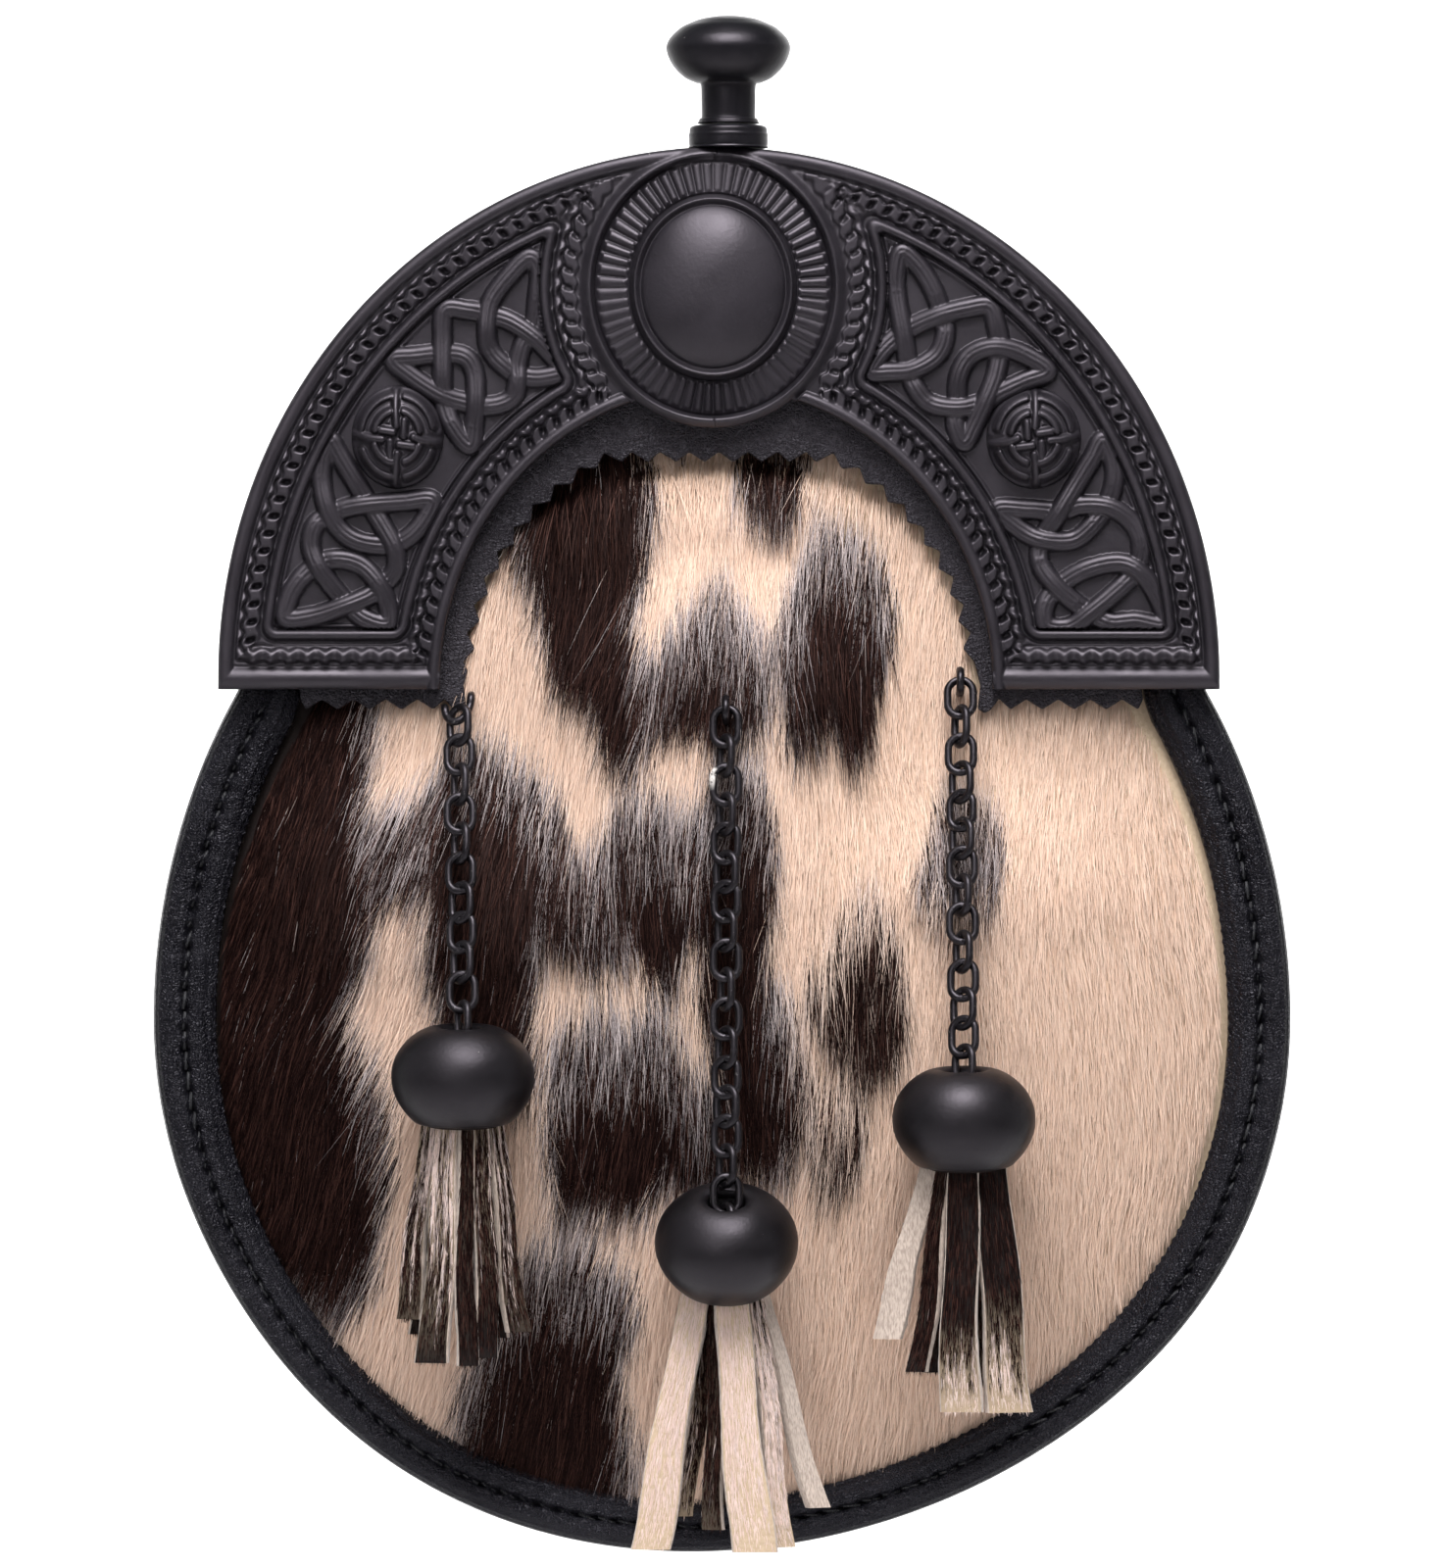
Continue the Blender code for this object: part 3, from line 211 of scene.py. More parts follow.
# the plug inside a bead, with the stem that holds its eye, coloured as painted shadow: radius, height from
# the bead's middle
PLUG = (
    (0.02, 1.6), (0.9, 1.6), (0.9, -1.9), (5.6, -2.0), (6.1, -2.6), (6.1, -7.3), (5.6, -7.9), (0.02, -7.9),
)
PLUG_SIDES = 24
STRAP_THICK, STRAP_TOP = 1.5, -6.6
# section of a strap in halves of its width and thickness: its hair side, then its flesh side
STRAP_SECTION = (
    (-1, 0.6), (-0.93, 1), (-0.5, 1.02), (0, 1.04), (0.5, 1.02), (0.93, 1),
    (1, 0.6), (1, -0.7), (0.93, -1), (0, -1), (-0.93, -1), (-1, -0.7),
)
# each tassel: x and z of its staple's feet and crown, the x, stand-off and z of the chain's head, x and z
# of the bead, whether the first link shows its face, the bead's lean in degrees, then its straps:
# x and y at the top, x and z at the foot, width, turn in degrees, how dark it is at the top and the foot,
# and whether its flesh side is out
TASSELS = {
    "left": {
        "feet": ((-43.9, -37.6), (-39.7, -35.6)), "crown": (-41.6, -39.6), "head": (-41.6, 4.7, -38.0),
        "bead": (-40.6, -95.3), "face_on": False, "lean": 6,
        "straps": (
            (-3.2, 3.2, -6.0, -136.0, 4.6, 12, 0.8, 1.0, False),
            (1.0, 2.8, 1.4, -137.5, 5.0, -8, 1.0, 1.0, False),
            (4.2, 2.6, 5.4, -136.5, 4.4, -16, 0.8, 1.0, False),
            (-5.6, 0.2, -8.8, -133.5, 4.2, -38, 0.4, 0.9, False),
            (5.7, -0.2, 8.4, -135.5, 4.2, 42, 0.5, 0.95, False),
            (-2.6, -3.0, -4.3, -140.2, 5.4, -20, 0.3, 1.0, False),
            (0.7, -3.8, 0.4, -140.6, 3.4, 24, 0.9, 1.0, False),
            (3.2, -3.0, 4.0, -139.4, 4.0, 30, 0.62, 1.05, False),
        ),
    },
    "middle": {
        "feet": ((0.6, -36.1), (0.6, -39.7)), "crown": (0.6, -37.9), "head": (0.6, 3.55, -38.3),
        "bead": (0.7, -121.3), "face_on": True, "lean": 28,
        "straps": (
            (-2.4, 2.6, -6.6, -164.6, 3.4, 34, 0.8, 0.6, False),
            (1.8, 2.6, 1.2, -162.5, 4.6, -12, 0.9, 0.9, False),
            (5.4, 1.8, 14.2, -163.2, 4.0, 58, 0.7, 0.5, True),
            (-1.8, -2.2, -1.8, -166.4, 3.4, -30, 0.9, 0.9, False),
            (4.8, -1.2, 8.9, -169.2, 4.0, 34, 0.45, 0.15, False),
            (-5.2, -1.2, -12.2, -169.6, 6.4, -12, 0.0, 0.0, False),
            (0.6, -4.2, 4.0, -169.8, 7.2, 8, 0.0, 0.0, False),
        ),
    },
    "right": {
        "feet": ((37.7, -31.6), (37.7, -35.2)), "crown": (37.7, -33.4), "head": (37.7, 3.55, -33.8),
        "bead": (37.9, -102.0), "face_on": True, "lean": 6,
        "straps": (
            (-2.8, 2.8, -3.6, -142.0, 4.6, 8, 0.9, 1.0, False),
            (2.6, 2.8, 4.0, -144.0, 5.0, -10, 0.9, 0.8, False),
            (-5.5, 0.2, -12.4, -136.6, 4.8, -24, 0.3, 0.3, True),
            (-3.4, -2.4, -7.0, -141.6, 3.6, -34, 0.9, 1.0, False),
            (4.6, -1.8, 7.3, -148.0, 7.4, 18, 1.8, 0.2, False),
            (-0.2, -4.0, -0.8, -147.8, 6.6, -8, 2.3, 0.22, False),
        ),
    },
}

# ---- hide and its coat
HIDE_STEPS, HIDE_RINGS = (200, 100), 50
# hairs tried in each strip of the coat, from left to right, and x of the edges between the strips
COAT_HAIRS, COAT_EDGES = (67000, 58000, 49000, 51000, 77000), (-85, -52, -28, -8, 14, 85)
LONG_HAIRS, STRAP_HAIRS = 9000, 1700
# length and width of a hair in mm, and how steeply in degrees it may stand off the skin
COAT_HAIR, LONG_HAIR = (11.0, 0.145, 7.0), (15.0, 0.075, 8.0)
STRAP_HAIR_WIDTH = 0.15
# each dark patch: x, z, half width, half height, lean in degrees, darkness
PATCHES = (
    (-20.0, -11.0, 9.2, 21.0, -2, 1.0), (-19.5, -27.0, 7.2, 8.5, 0, 1.0), (-14.5, -34.0, 4.8, 10.0, 0, 1.0),
    (-33.5, -10.5, 5.0, 4.0, -45, 0.85), (-27.0, -1.0, 6.0, 6.0, -35, 1.0), (-5.9, 3.0, 1.8, 4.0, 0, 0.6),
    (0.0, -31.0, 8.5, 9.5, 0, 0.92), (-7.5, -34.0, 5.0, 6.0, 0, 0.85), (7.8, 2.0, 6.0, 9.0, 0, 0.85),
    (18.3, -26.0, 8.4, 13.5, 0, 1.0), (13.8, -38.0, 3.0, 6.5, 0, 0.85), (21.2, -38.0, 3.4, 7.0, 0, 0.9),
    (-36.0, -56.5, 11.0, 11.5, 0, 1.0), (-36.0, -75.0, 9.0, 16.5, 0, 1.0), (-33.0, -87.0, 6.5, 9.0, 0, 0.95),
    (-54.0, -61.5, 8.5, 7.0, 0, 1.0), (-9.5, -62.5, 11.0, 11.5, 0, 1.0), (2.5, -61.5, 5.8, 14.5, 0, 0.95),
    (-22.0, -66.5, 5.5, 6.5, 0, 0.95), (-18.5, -73.5, 3.0, 5.0, 0, 0.8), (-9.5, -74.0, 3.0, 5.0, 0, 0.8),
    (1.5, -79.0, 5.0, 10.0, 0, 0.95), (-16.0, -101.5, 10.6, 16.0, 0, 1.0), (6.8, -96.0, 7.0, 13.0, 0, 0.95),
    (-3.0, -103.5, 6.0, 9.5, 0, 0.8), (17.8, -106.0, 4.4, 8.0, 0, 0.7), (22.8, -83.0, 7.6, 12.0, 0, 0.88),
    (37.3, -65.0, 6.4, 10.0, 0, 0.55), (-70.5, -42.0, 16.5, 17.0, 0, 1.0), (-71.0, -63.0, 17.0, 21.0, 0, 1.0),
    (-70.0, -82.0, 15.5, 21.0, 0, 1.0), (-68.5, -100.0, 16.0, 20.0, 0, 1.0),
    (-66.0, -115.0, 14.0, 13.0, 0, 1.0), (-56.0, -106.0, 7.5, 10.5, 0, 0.9),
    (-61.0, -125.0, 9.5, 9.0, -30, 0.7), (-24.5, -132.0, 10.6, 11.5, 0, 1.0),
    (-26.5, -149.0, 14.0, 17.0, 10, 1.0),
)

# ---- studio, in metres
FLOOR_BELOW, FLOOR_SIDES = 0.06, 96  # under the tassels
FLOOR_PROFILE = ((0.001, 0.0), (2.6, 0.0), (3.3, 0.06), (3.8, 0.3), (4.1, 0.8), (4.2, 1.6), (4.2, 3.0))
ROOM_LIGHT = 0.14
# each lamp: where it is, what it faces, width, power, spread in degrees
LAMPS = (
    ("overhead", (0.0, -0.21, 0.32), (0, -0.02, -0.05), 0.3, 0.62, 120),
    ("key", (0.0, -0.42, 0.6), (0, -0.02, -0.05), 0.5, 1.75, 70),
    ("fill", (-0.7, -2.2, 0.9), (0, -0.02, -0.05), 1.0, 1.2, 60),
    ("backdrop", (0.0, 1.6, 1.9), (0, 4.2, 0.0), 1.6, 150.0, 180),
)
VIEW_HEIGHT, CAMERA_Z, CAMERA_AWAY = 0.248, -0.0496, 1.8


# ------------------------------------------------------------------ small maths

def smooth(t):
    t = np.clip(t, 0.0, 1.0)
    return t * t * (3 - 2 * t)


def bump(t):
    """A rounded crest: 1 at 0 and level with the ground from 1 on."""
    return np.sqrt(np.clip(1 - t * t, 0.0, 1.0))


def eased(value, rows):
    """Height at a place between rows of (place, height), level at each row."""
    places, heights = np.array([r[0] for r in rows]), np.array([r[1] for r in rows])
    k = np.clip(np.searchsorted(places, value, side="right") - 1, 0, len(rows) - 2)
    share = smooth((value - places[k]) / (places[k + 1] - places[k]))
    return heights[k] + (heights[k + 1] - heights[k]) * share


def flowing(rows, count):
    """A smooth line of that many points through rows of numbers (Catmull-Rom)."""
    points = np.array(rows, float)
    padded = np.vstack([2 * points[0] - points[1], points, 2 * points[-1] - points[-2]])
    t = np.linspace(0, len(points) - 1, count)
    k = np.minimum(t.astype(int), len(points) - 2)
    return spline(padded[k], padded[k + 1], padded[k + 2], padded[k + 3], (t - k)[:, None])


def flowing_loop(rows, steps):
    """The same round a closed line, with that many steps from row to row."""
    points = np.array(rows, float)
    t = np.tile(np.arange(steps) / steps, len(points))[:, None]
    k = np.repeat(np.arange(len(points)), steps)
    around = [points[(k + shift) % len(points)] for shift in (-1, 0, 1, 2)]
    return spline(*around, t)


def spline(a, b, c, d, t):
    """Catmull-Rom from b to c, with a and d beyond them."""
    curve, twist = 2 * a - 5 * b + 4 * c - d, 3 * b - a - 3 * c + d
    return 0.5 * (2 * b + (c - a) * t + curve * t ** 2 + twist * t ** 3)


def speckle(i, j, seed):
    """A fixed random number from 0 to 1 for each pair of whole numbers."""
    value = np.sin(i * 127.1 + j * 311.7 + seed * 74.7) * 43758.5453
    return value - np.floor(value)


def drift(x, z, size, seed):
    """Smooth noise from -1 to 1 whose lumps are about that size in mm."""
    u, v = np.asarray(x) / size, np.asarray(z) / size
    i, j = np.floor(u), np.floor(v)
    a, b = smooth(u - i), smooth(v - j)
    low = speckle(i, j, seed) * (1 - a) + speckle(i + 1, j, seed) * a
    high = speckle(i, j + 1, seed) * (1 - a) + speckle(i + 1, j + 1, seed) * a
    return 2 * (low * (1 - b) + high * b) - 1


# ------------------------------------------------------------------ shape of the pouch, as the frame has it

def sway(z):
    """How far the foot of the body leans to the left at that height."""
    return SWAY * (np.maximum(0.0, SWAY_FROM_Z - z) / SWAY_LENGTH) ** 2


def bulge(x, z):
    """How far the stuffed hide stands off its flange, and how far past each cantle edge a point lies."""
    x, z = np.asarray(x, float), np.asarray(z, float)
    reach = np.where(z < BODY_CENTRE_Z, BULGE_BELOW, BULGE_ABOVE)
    spread = ((x + sway(z)) / BULGE_HALF_WIDTH) ** 2 + ((z - BODY_CENTRE_Z) / reach) ** 2
    free = BULGE_RISE * np.maximum(0.0, 1 - spread) ** 0.85
    up = np.maximum(z - ARCH_Z, 0) / ARCH_HEIGHT
    round_arch = np.hypot((x - ARCH_X) / ARCH_HALF_WIDTH, up)
    return free, (round_arch - 1) * ARCH_HALF_WIDTH, z - FOOT_Z


def hide_y(x, z):
    """Y of the hide's face: its flange, the bulge in front of it, and the dip under the cantle."""
    free, past_arch, past_foot = bulge(x, z)
    held = smooth((np.minimum(past_arch, past_foot) + PRESSED_EDGE + PRESSED_FADE) / PRESSED_FADE)
    return FLANGE_Y - (free * (1 - held) + np.minimum(free, PRESSED_RISE) * held)


def coat_y(x, z):
    """Y of the hide as it shows: the same bulge, with every crease of it softened by the coat."""
    free, past_arch, past_foot = bulge(x, z)
    under = -COAT_SOFT * np.log(np.exp(-past_arch / COAT_SOFT) + np.exp(-past_foot / COAT_SOFT))
    held = smooth((under + COAT_EDGE + COAT_FADE) / COAT_FADE)
    return FLANGE_Y - (free * (1 - held) + PRESSED_RISE * (1 - np.exp(-free / PRESSED_RISE)) * held)


def body_below(steps):
    """The leather's outline below the cantle's feet, from the right foot round to the left, as x and z."""
    join = math.asin((FOOT_Z - BODY_CENTRE_Z) / BODY_ABOVE)
    angle = join - (math.pi + 2 * join) * np.arange(steps + 1) / steps
    z = BODY_CENTRE_Z + np.where(np.sin(angle) < 0, BODY_BELOW, BODY_ABOVE) * np.sin(angle)
    return np.stack([BODY_HALF_WIDTH * np.cos(angle) - sway(z), z], -1)


def body_outline(below_steps, above_steps):
    """The whole outline: down the right side, round the foot, up the left and over the top."""
    angle = math.pi * (1 - np.arange(1, above_steps) / above_steps)
    over = np.stack([
        CANTLE_X + BACKING_HALF_WIDTH * np.cos(angle), CANTLE_Z + BACKING_HEIGHT * np.sin(angle),
    ], -1)
    return np.vstack([body_below(below_steps), over])


def headings(path, closed):
    """Unit directions along a line of x and z points, and the directions inwards from it."""
    if closed:
        along = np.roll(path, -1, 0) - np.roll(path, 1, 0)
    else:
        along = np.gradient(path, axis=0)
    along = along / np.linalg.norm(along, axis=1)[:, None]
    return along, np.stack([along[:, 1], -along[:, 0]], -1)


def border_width(z):
    """The border is wide above and narrower at the foot."""
    low = smooth((BODY_CENTRE_Z - z) / BODY_BELOW)
    return BORDER_WIDTH + (BORDER_WIDTH_BELOW - BORDER_WIDTH) * low


def border_path(steps):
    """The border's outer line, carried up under the cantle's feet."""
    below = body_below(steps)
    over = body_outline(36, 14)
    ends = []
    for point, beyond in ((below[0], over[-1]), (below[-1], over[37])):
        ends.append(point + (beyond - point) * (BORDER_TOP_Z - point[1]) / (beyond[1] - point[1]))
    return np.vstack([ends[0], below, ends[1]])


# ------------------------------------------------------------------ meshes

def quads(rows, columns, wrap_rows=False, wrap_columns=False):
    """Faces over a grid of points stored row by row."""
    r = np.arange(rows if wrap_rows else rows - 1)
    c = np.arange(columns if wrap_columns else columns - 1)
    r, c = [a.ravel() for a in np.meshgrid(r, c, indexing="ij")]
    below, right = (r + 1) % rows, (c + 1) % columns
    return np.stack([r * columns + c, r * columns + right, below * columns + right, below * columns + c], -1)


def point_mesh(name, points):
    """A mesh with only points, given in millimetres, and its object in the scene."""
    points = np.asarray(points, float).reshape(-1, 3)
    mesh = bpy.data.meshes.new(name)
    mesh.vertices.add(len(points))
    mesh.vertices.foreach_set("co", (points * MM).astype(np.float32).ravel())
    obj = bpy.data.objects.new(name, mesh)
    bpy.context.scene.collection.objects.link(obj)
    return obj, mesh


def piece(name, points, faces, looks, caps=(), closed=True, shade_smooth=True):
    """A mesh object from points, quads and a few many-sided caps; looks is a material or a list of them."""
    obj, mesh = point_mesh(name, points)
    sizes = np.concatenate([np.full(len(faces), 4), np.array([len(cap) for cap in caps], int)])
    corners = np.concatenate([np.asarray(faces).ravel(), *caps]).astype(np.int32)
    mesh.loops.add(len(corners))
    mesh.loops.foreach_set("vertex_index", corners)
    mesh.polygons.add(len(sizes))
    starts = np.concatenate([[0], np.cumsum(sizes)[:-1]]).astype(np.int32)
    mesh.polygons.foreach_set("loop_start", starts)
    mesh.update(calc_edges=True)
    mesh.validate()
    if closed:
        work = bmesh.new()
        work.from_mesh(mesh)
        bmesh.ops.recalc_face_normals(work, faces=work.faces)
        work.to_mesh(mesh)
        work.free()
    if shade_smooth:
        mesh.shade_smooth()
    for look in (looks if isinstance(looks, list) else [looks]):
        mesh.materials.append(look)
    return obj


def two_ends(count, sides, start=0):
    """The first and the last of that many rings of points, as faces."""
    return [start + np.arange(sides), start + (count - 1) * sides + np.arange(sides)]


def skinned(name, rings, look, **settings):
    """A closed piece over rings of points, with a face across each end."""
    count, sides = rings.shape[:2]
    faces = quads(count, sides, wrap_columns=True)
    return piece(name, rings, faces, look, two_ends(count, sides), **settings)


def at_depth(line, y):
    """A line of x and z as points in space, at one y or a y for each."""
    return np.stack([line[:, 0], np.broadcast_to(y, len(line)), line[:, 1]], -1)


def distances(path):
    """How far along a path each of its points lies."""
    return np.concatenate([[0], np.cumsum(np.linalg.norm(np.diff(path, axis=0), axis=1))])


def place(obj, slot, *nodes):
    """The piece rides on the pouch and stands for those frame nodes, which it hides; slot is not used."""
    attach(obj, "root")
    if nodes:
        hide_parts(*nodes)
    return obj


def store(obj, name, values):
    """A number or a vector for each point of the mesh, that materials and node trees can read."""
    values = np.asarray(values, np.float32)
    kind, key = ("FLOAT_VECTOR", "vector") if values.ndim == 2 else ("FLOAT", "value")
    attribute = obj.data.attributes.new(name, kind, "POINT")
    attribute.data.foreach_set(key, values.ravel())


def settle(obj):
    """Turns the object's modifiers into its mesh."""
    bpy.context.view_layer.update()
    shown = obj.evaluated_get(bpy.context.evaluated_depsgraph_get())
    mesh = bpy.data.meshes.new_from_object(shown)
    obj.modifiers.clear()
    obj.data = mesh
    return obj


def sweep(path, section):
    """Points of a section carried along a path of x and z: rows of the offset inwards and y."""
    inward = headings(path, False)[1]
    rings = []
    for offsets, y in section:
        rings.append(at_depth(path + inward * np.broadcast_to(offsets, len(path))[:, None], y))
    return np.stack(rings, 1)


def turned(profile, centre, sides, lean=0.0):
    """Points of a turned shape from rows of radius and height."""
    angle = 2 * np.pi * np.arange(sides) / sides
    radius, height = np.array(profile).T
    points = np.stack([
        radius[:, None] * np.cos(angle), radius[:, None] * np.sin(angle), height[:, None] + 0 * angle,
    ], -1)
    turn = np.array(Matrix.Rotation(math.radians(lean), 3, "X"))
    return points @ turn.T + np.array(centre)


# ------------------------------------------------------------------ node trees

class Tree:
    """Adds nodes to a tree: an input given as another node's output is linked, any other value is set."""

    def __init__(self, tree):
        self.tree = tree

    def add(self, kind, inputs=None, **settings):
        node = self.tree.nodes.new(kind)
        for key, value in settings.items():
            setattr(node, key, value)
        for key, value in (inputs or {}).items():
            if isinstance(value, bpy.types.NodeSocket):
                self.tree.links.new(value, node.inputs[key])
            else:
                node.inputs[key].default_value = value
        return node

    def wire_up(self, node, **values):
        for key, value in values.items():
            self.tree.links.new(value, node.inputs[key.replace("_", " ")])

    def math(self, operation, first, second=0.0):
        return self.add("ShaderNodeMath", {0: first, 1: second}, operation=operation).outputs[0]

    def vector(self, operation, first, second=(0, 0, 0)):
        return self.add("ShaderNodeVectorMath", {0: first, 1: second}, operation=operation).outputs[0]

    def scaled(self, vector, factor):
        return self.add("ShaderNodeVectorMath", {0: vector, "Scale": factor}, operation="SCALE").outputs[0]

    def mix(self, share, first, second):
        return self.add("ShaderNodeMix", {0: share, 6: first, 7: second}, data_type="RGBA").outputs[2]

    def map(self, value, low, high, to_low=0.0, to_high=1.0):
        inputs = {0: value, 1: low, 2: high, 3: to_low, 4: to_high}
        return self.add("ShaderNodeMapRange", inputs, interpolation_type="SMOOTHSTEP").outputs[0]

    def attribute(self, name):
        return self.add("ShaderNodeAttribute", attribute_name=name).outputs["Fac"]

    def place(self):
        """Where on the object a point is, in metres."""
        return self.add("ShaderNodeTexCoord").outputs["Object"]

    def noise(self, place_at, per_mm, detail, **more):
        """Cloudy noise with about that many lumps to the mm."""
        inputs = {"Vector": place_at, "Scale": per_mm / MM, "Detail": detail, **more}
        return self.add("ShaderNodeTexNoise", inputs).outputs["Fac"]

    def relief(self, height, depth, strength=1.0):
        """The normal of a surface with that height on it, depth in mm."""
        inputs = {"Strength": strength, "Distance": depth * MM, "Height": height}
        return self.add("ShaderNodeBump", inputs).outputs[0]

    def group(self, tree, inputs):
        return self.add("ShaderNodeGroup", inputs, node_tree=tree).outputs


def rgb(red, green, blue):
    return (red, green, blue, 1.0)


def group(name, kind, inputs, outputs):
    """An empty node group with named sockets: rows of name, kind of value and default."""
    tree = bpy.data.node_groups.new(name, kind)
    for socket_name, value_kind, default in inputs:
        kind_of_socket = "NodeSocket" + value_kind
        socket = tree.interface.new_socket(name=socket_name, in_out="INPUT", socket_type=kind_of_socket)
        if default is not None:
            socket.default_value = default
    for socket_name, value_kind in outputs:
        tree.interface.new_socket(name=socket_name, in_out="OUTPUT", socket_type="NodeSocket" + value_kind)
    return tree, tree.nodes.new("NodeGroupInput").outputs, tree.nodes.new("NodeGroupOutput")


def material(name, roughness, specular=0.5, sheen=0.0, tint=(1.0, 1.0, 1.0)):
    """A new material with those constants on its shader: its tree and the shader."""
    made = bpy.data.materials.new(name)
    made.use_nodes = True
    shader = made.node_tree.nodes["Principled BSDF"]
    shader.inputs["Roughness"].default_value = roughness
    shader.inputs["Specular IOR Level"].default_value = specular
    shader.inputs["Specular Tint"].default_value = rgb(*tint)
    shader.inputs["Sheen Weight"].default_value = sheen
    return made, Tree(made.node_tree), shader


# ------------------------------------------------------------------ shader groups

def grain_group():
    """Leather grain: pebbled cells with creases between them, and slow wear. Gives a height and a tone."""
    tree, given, out = group("leather grain", "ShaderNodeTree", (
        ("Place", "Vector", None), ("Pebbles per mm", "Float", 1.4), ("Crossing", "Float", 0.0),
    ), (("Height", "Float"), ("Tone", "Float"), ("Scuff", "Float")))
    t = Tree(tree)
    per_mm = t.math("MULTIPLY", given["Pebbles per mm"], 1 / MM)
    bent = t.add("ShaderNodeTexNoise", {"Vector": given["Place"], "Scale": 0.35 / MM, "Detail": 2.0})
    offset = t.scaled(bent.outputs["Color"], 0.9 * MM)
    place_at = t.vector("ADD", given["Place"], offset)
    cells = t.add("ShaderNodeTexVoronoi", {"Vector": place_at, "Scale": per_mm}, feature="DISTANCE_TO_EDGE")
    crease = t.map(cells.outputs["Distance"], 0.0, 0.28)
    fine = t.noise(given["Place"], 4.2, 3.0)
    leaning = t.add("ShaderNodeMapping", {
        "Vector": place_at, "Rotation": (0, math.radians(38), 0), "Scale": (1, 1, 3.2),
    })
    crossed = t.map(t.noise(leaning.outputs[0], 1.5, 2.0), 0.35, 0.62)
    woven = t.math("MULTIPLY", crossed, crease)
    share = given["Crossing"]
    pebbled = t.math("MULTIPLY", crease, t.math("SUBTRACT", 1.0, share))
    height = t.math("ADD", t.math("MULTIPLY", woven, share), pebbled)
    height = t.math("ADD", height, t.math("MULTIPLY", fine, 0.35))
    slow = t.noise(given["Place"], 0.06, 4.0)
    scuff = t.noise(given["Place"], 0.9, 5.0, Roughness=0.7)
    t.wire_up(out, Height=height, Tone=t.map(slow, 0.3, 0.7), Scuff=t.map(scuff, 0.6, 0.8))
    return tree


def paint_group():
    """Satin black paint over a casting: a faint orange peel, slow tone, and dust specks."""
    tree, given, out = group("satin paint", "ShaderNodeTree", (
        ("Place", "Vector", None), ("Specks per mm", "Float", 0.35),
    ), (("Height", "Float"), ("Tone", "Float"), ("Specks", "Float")))
    t = Tree(tree)
    peel, slow = t.noise(given["Place"], 1.6, 3.0), t.noise(given["Place"], 0.11, 4.0)
    per_mm = t.math("MULTIPLY", given["Specks per mm"], 1 / MM)
    dust = t.add("ShaderNodeTexVoronoi", {"Vector": given["Place"], "Scale": per_mm, "Randomness": 1.0})
    chance = t.add("ShaderNodeSeparateColor", {0: dust.outputs["Color"]}).outputs[0]
    sizes = t.math("SUBTRACT", t.math("MULTIPLY", chance, 0.07), 0.035)
    near = t.math("LESS_THAN", dust.outputs["Distance"], sizes)
    t.wire_up(out, Height=peel, Tone=t.map(slow, 0.3, 0.7), Specks=near)
    return tree


GRAIN = grain_group()
PAINT = paint_group()


def leather(name, colour, pebbles, depth, roughness=0.5, crossing=0.0, shine=0.38):
    """Black leather: pebbles to the mm, depth of its grain in mm, and how much creases cross the pebbles."""
    made, t, shader = material(name, roughness, specular=shine, tint=(0.92, 0.88, 1.0))
    grain = t.group(GRAIN, {"Place": t.place(), "Pebbles per mm": pebbles, "Crossing": crossing})
    lighter = tuple(min(1.0, c * 1.75 + 0.004) for c in colour)
    base = t.mix(grain["Tone"], rgb(*colour), rgb(*lighter))
    base = t.mix(t.math("MULTIPLY", grain["Scuff"], 0.3), base, rgb(0.018, 0.019, 0.023))
    uneven = t.map(grain["Tone"], 0.0, 1.0, roughness - 0.07, roughness + 0.07)
    t.wire_up(shader, Base_Color=base, Normal=t.relief(grain["Height"], depth), Roughness=uneven)
    return made


def painted_metal(name, colour, roughness, specks=0.35, worn=False, shine=0.5):
    """Satin black metal. A mesh may hold 'hollow', 0 on crests to 1 in the bottoms, by which painted shade
    darkens the colour in the bottoms of its relief.
    """
    made, t, shader = material(name, roughness, specular=shine, tint=(0.98, 0.88, 1.0))
    paint = t.group(PAINT, {"Place": t.place(), "Specks per mm": specks})
    lighter = tuple(c * 1.35 for c in colour)
    base = t.mix(paint["Tone"], rgb(*colour), rgb(*lighter))
    # painted shade: the colour goes nearly black towards the bottoms of the relief, where shade falls
    base = t.mix(t.math("MULTIPLY", t.attribute("hollow"), 0.75), base, rgb(0.006, 0.0055, 0.007))
    base = t.mix(t.math("MULTIPLY", paint["Specks"], 0.55), base, rgb(0.5, 0.47, 0.45))
    if worn:
        scratched = t.noise(t.place(), 2.4, 6.0)
        base = t.mix(t.map(scratched, 0.66, 0.72, 0.0, 0.5), base, rgb(0.2, 0.19, 0.19))
        bare = t.math("MULTIPLY", t.attribute("bare"), t.map(scratched, 0.3, 0.5))
        base = t.mix(bare, base, rgb(0.62, 0.58, 0.55))
    uneven = t.map(paint["Tone"], 0.0, 1.0, roughness - 0.05, roughness + 0.06)
    t.wire_up(shader, Base_Color=base, Normal=t.relief(paint["Height"], 0.05, 0.6), Roughness=uneven)
    return made


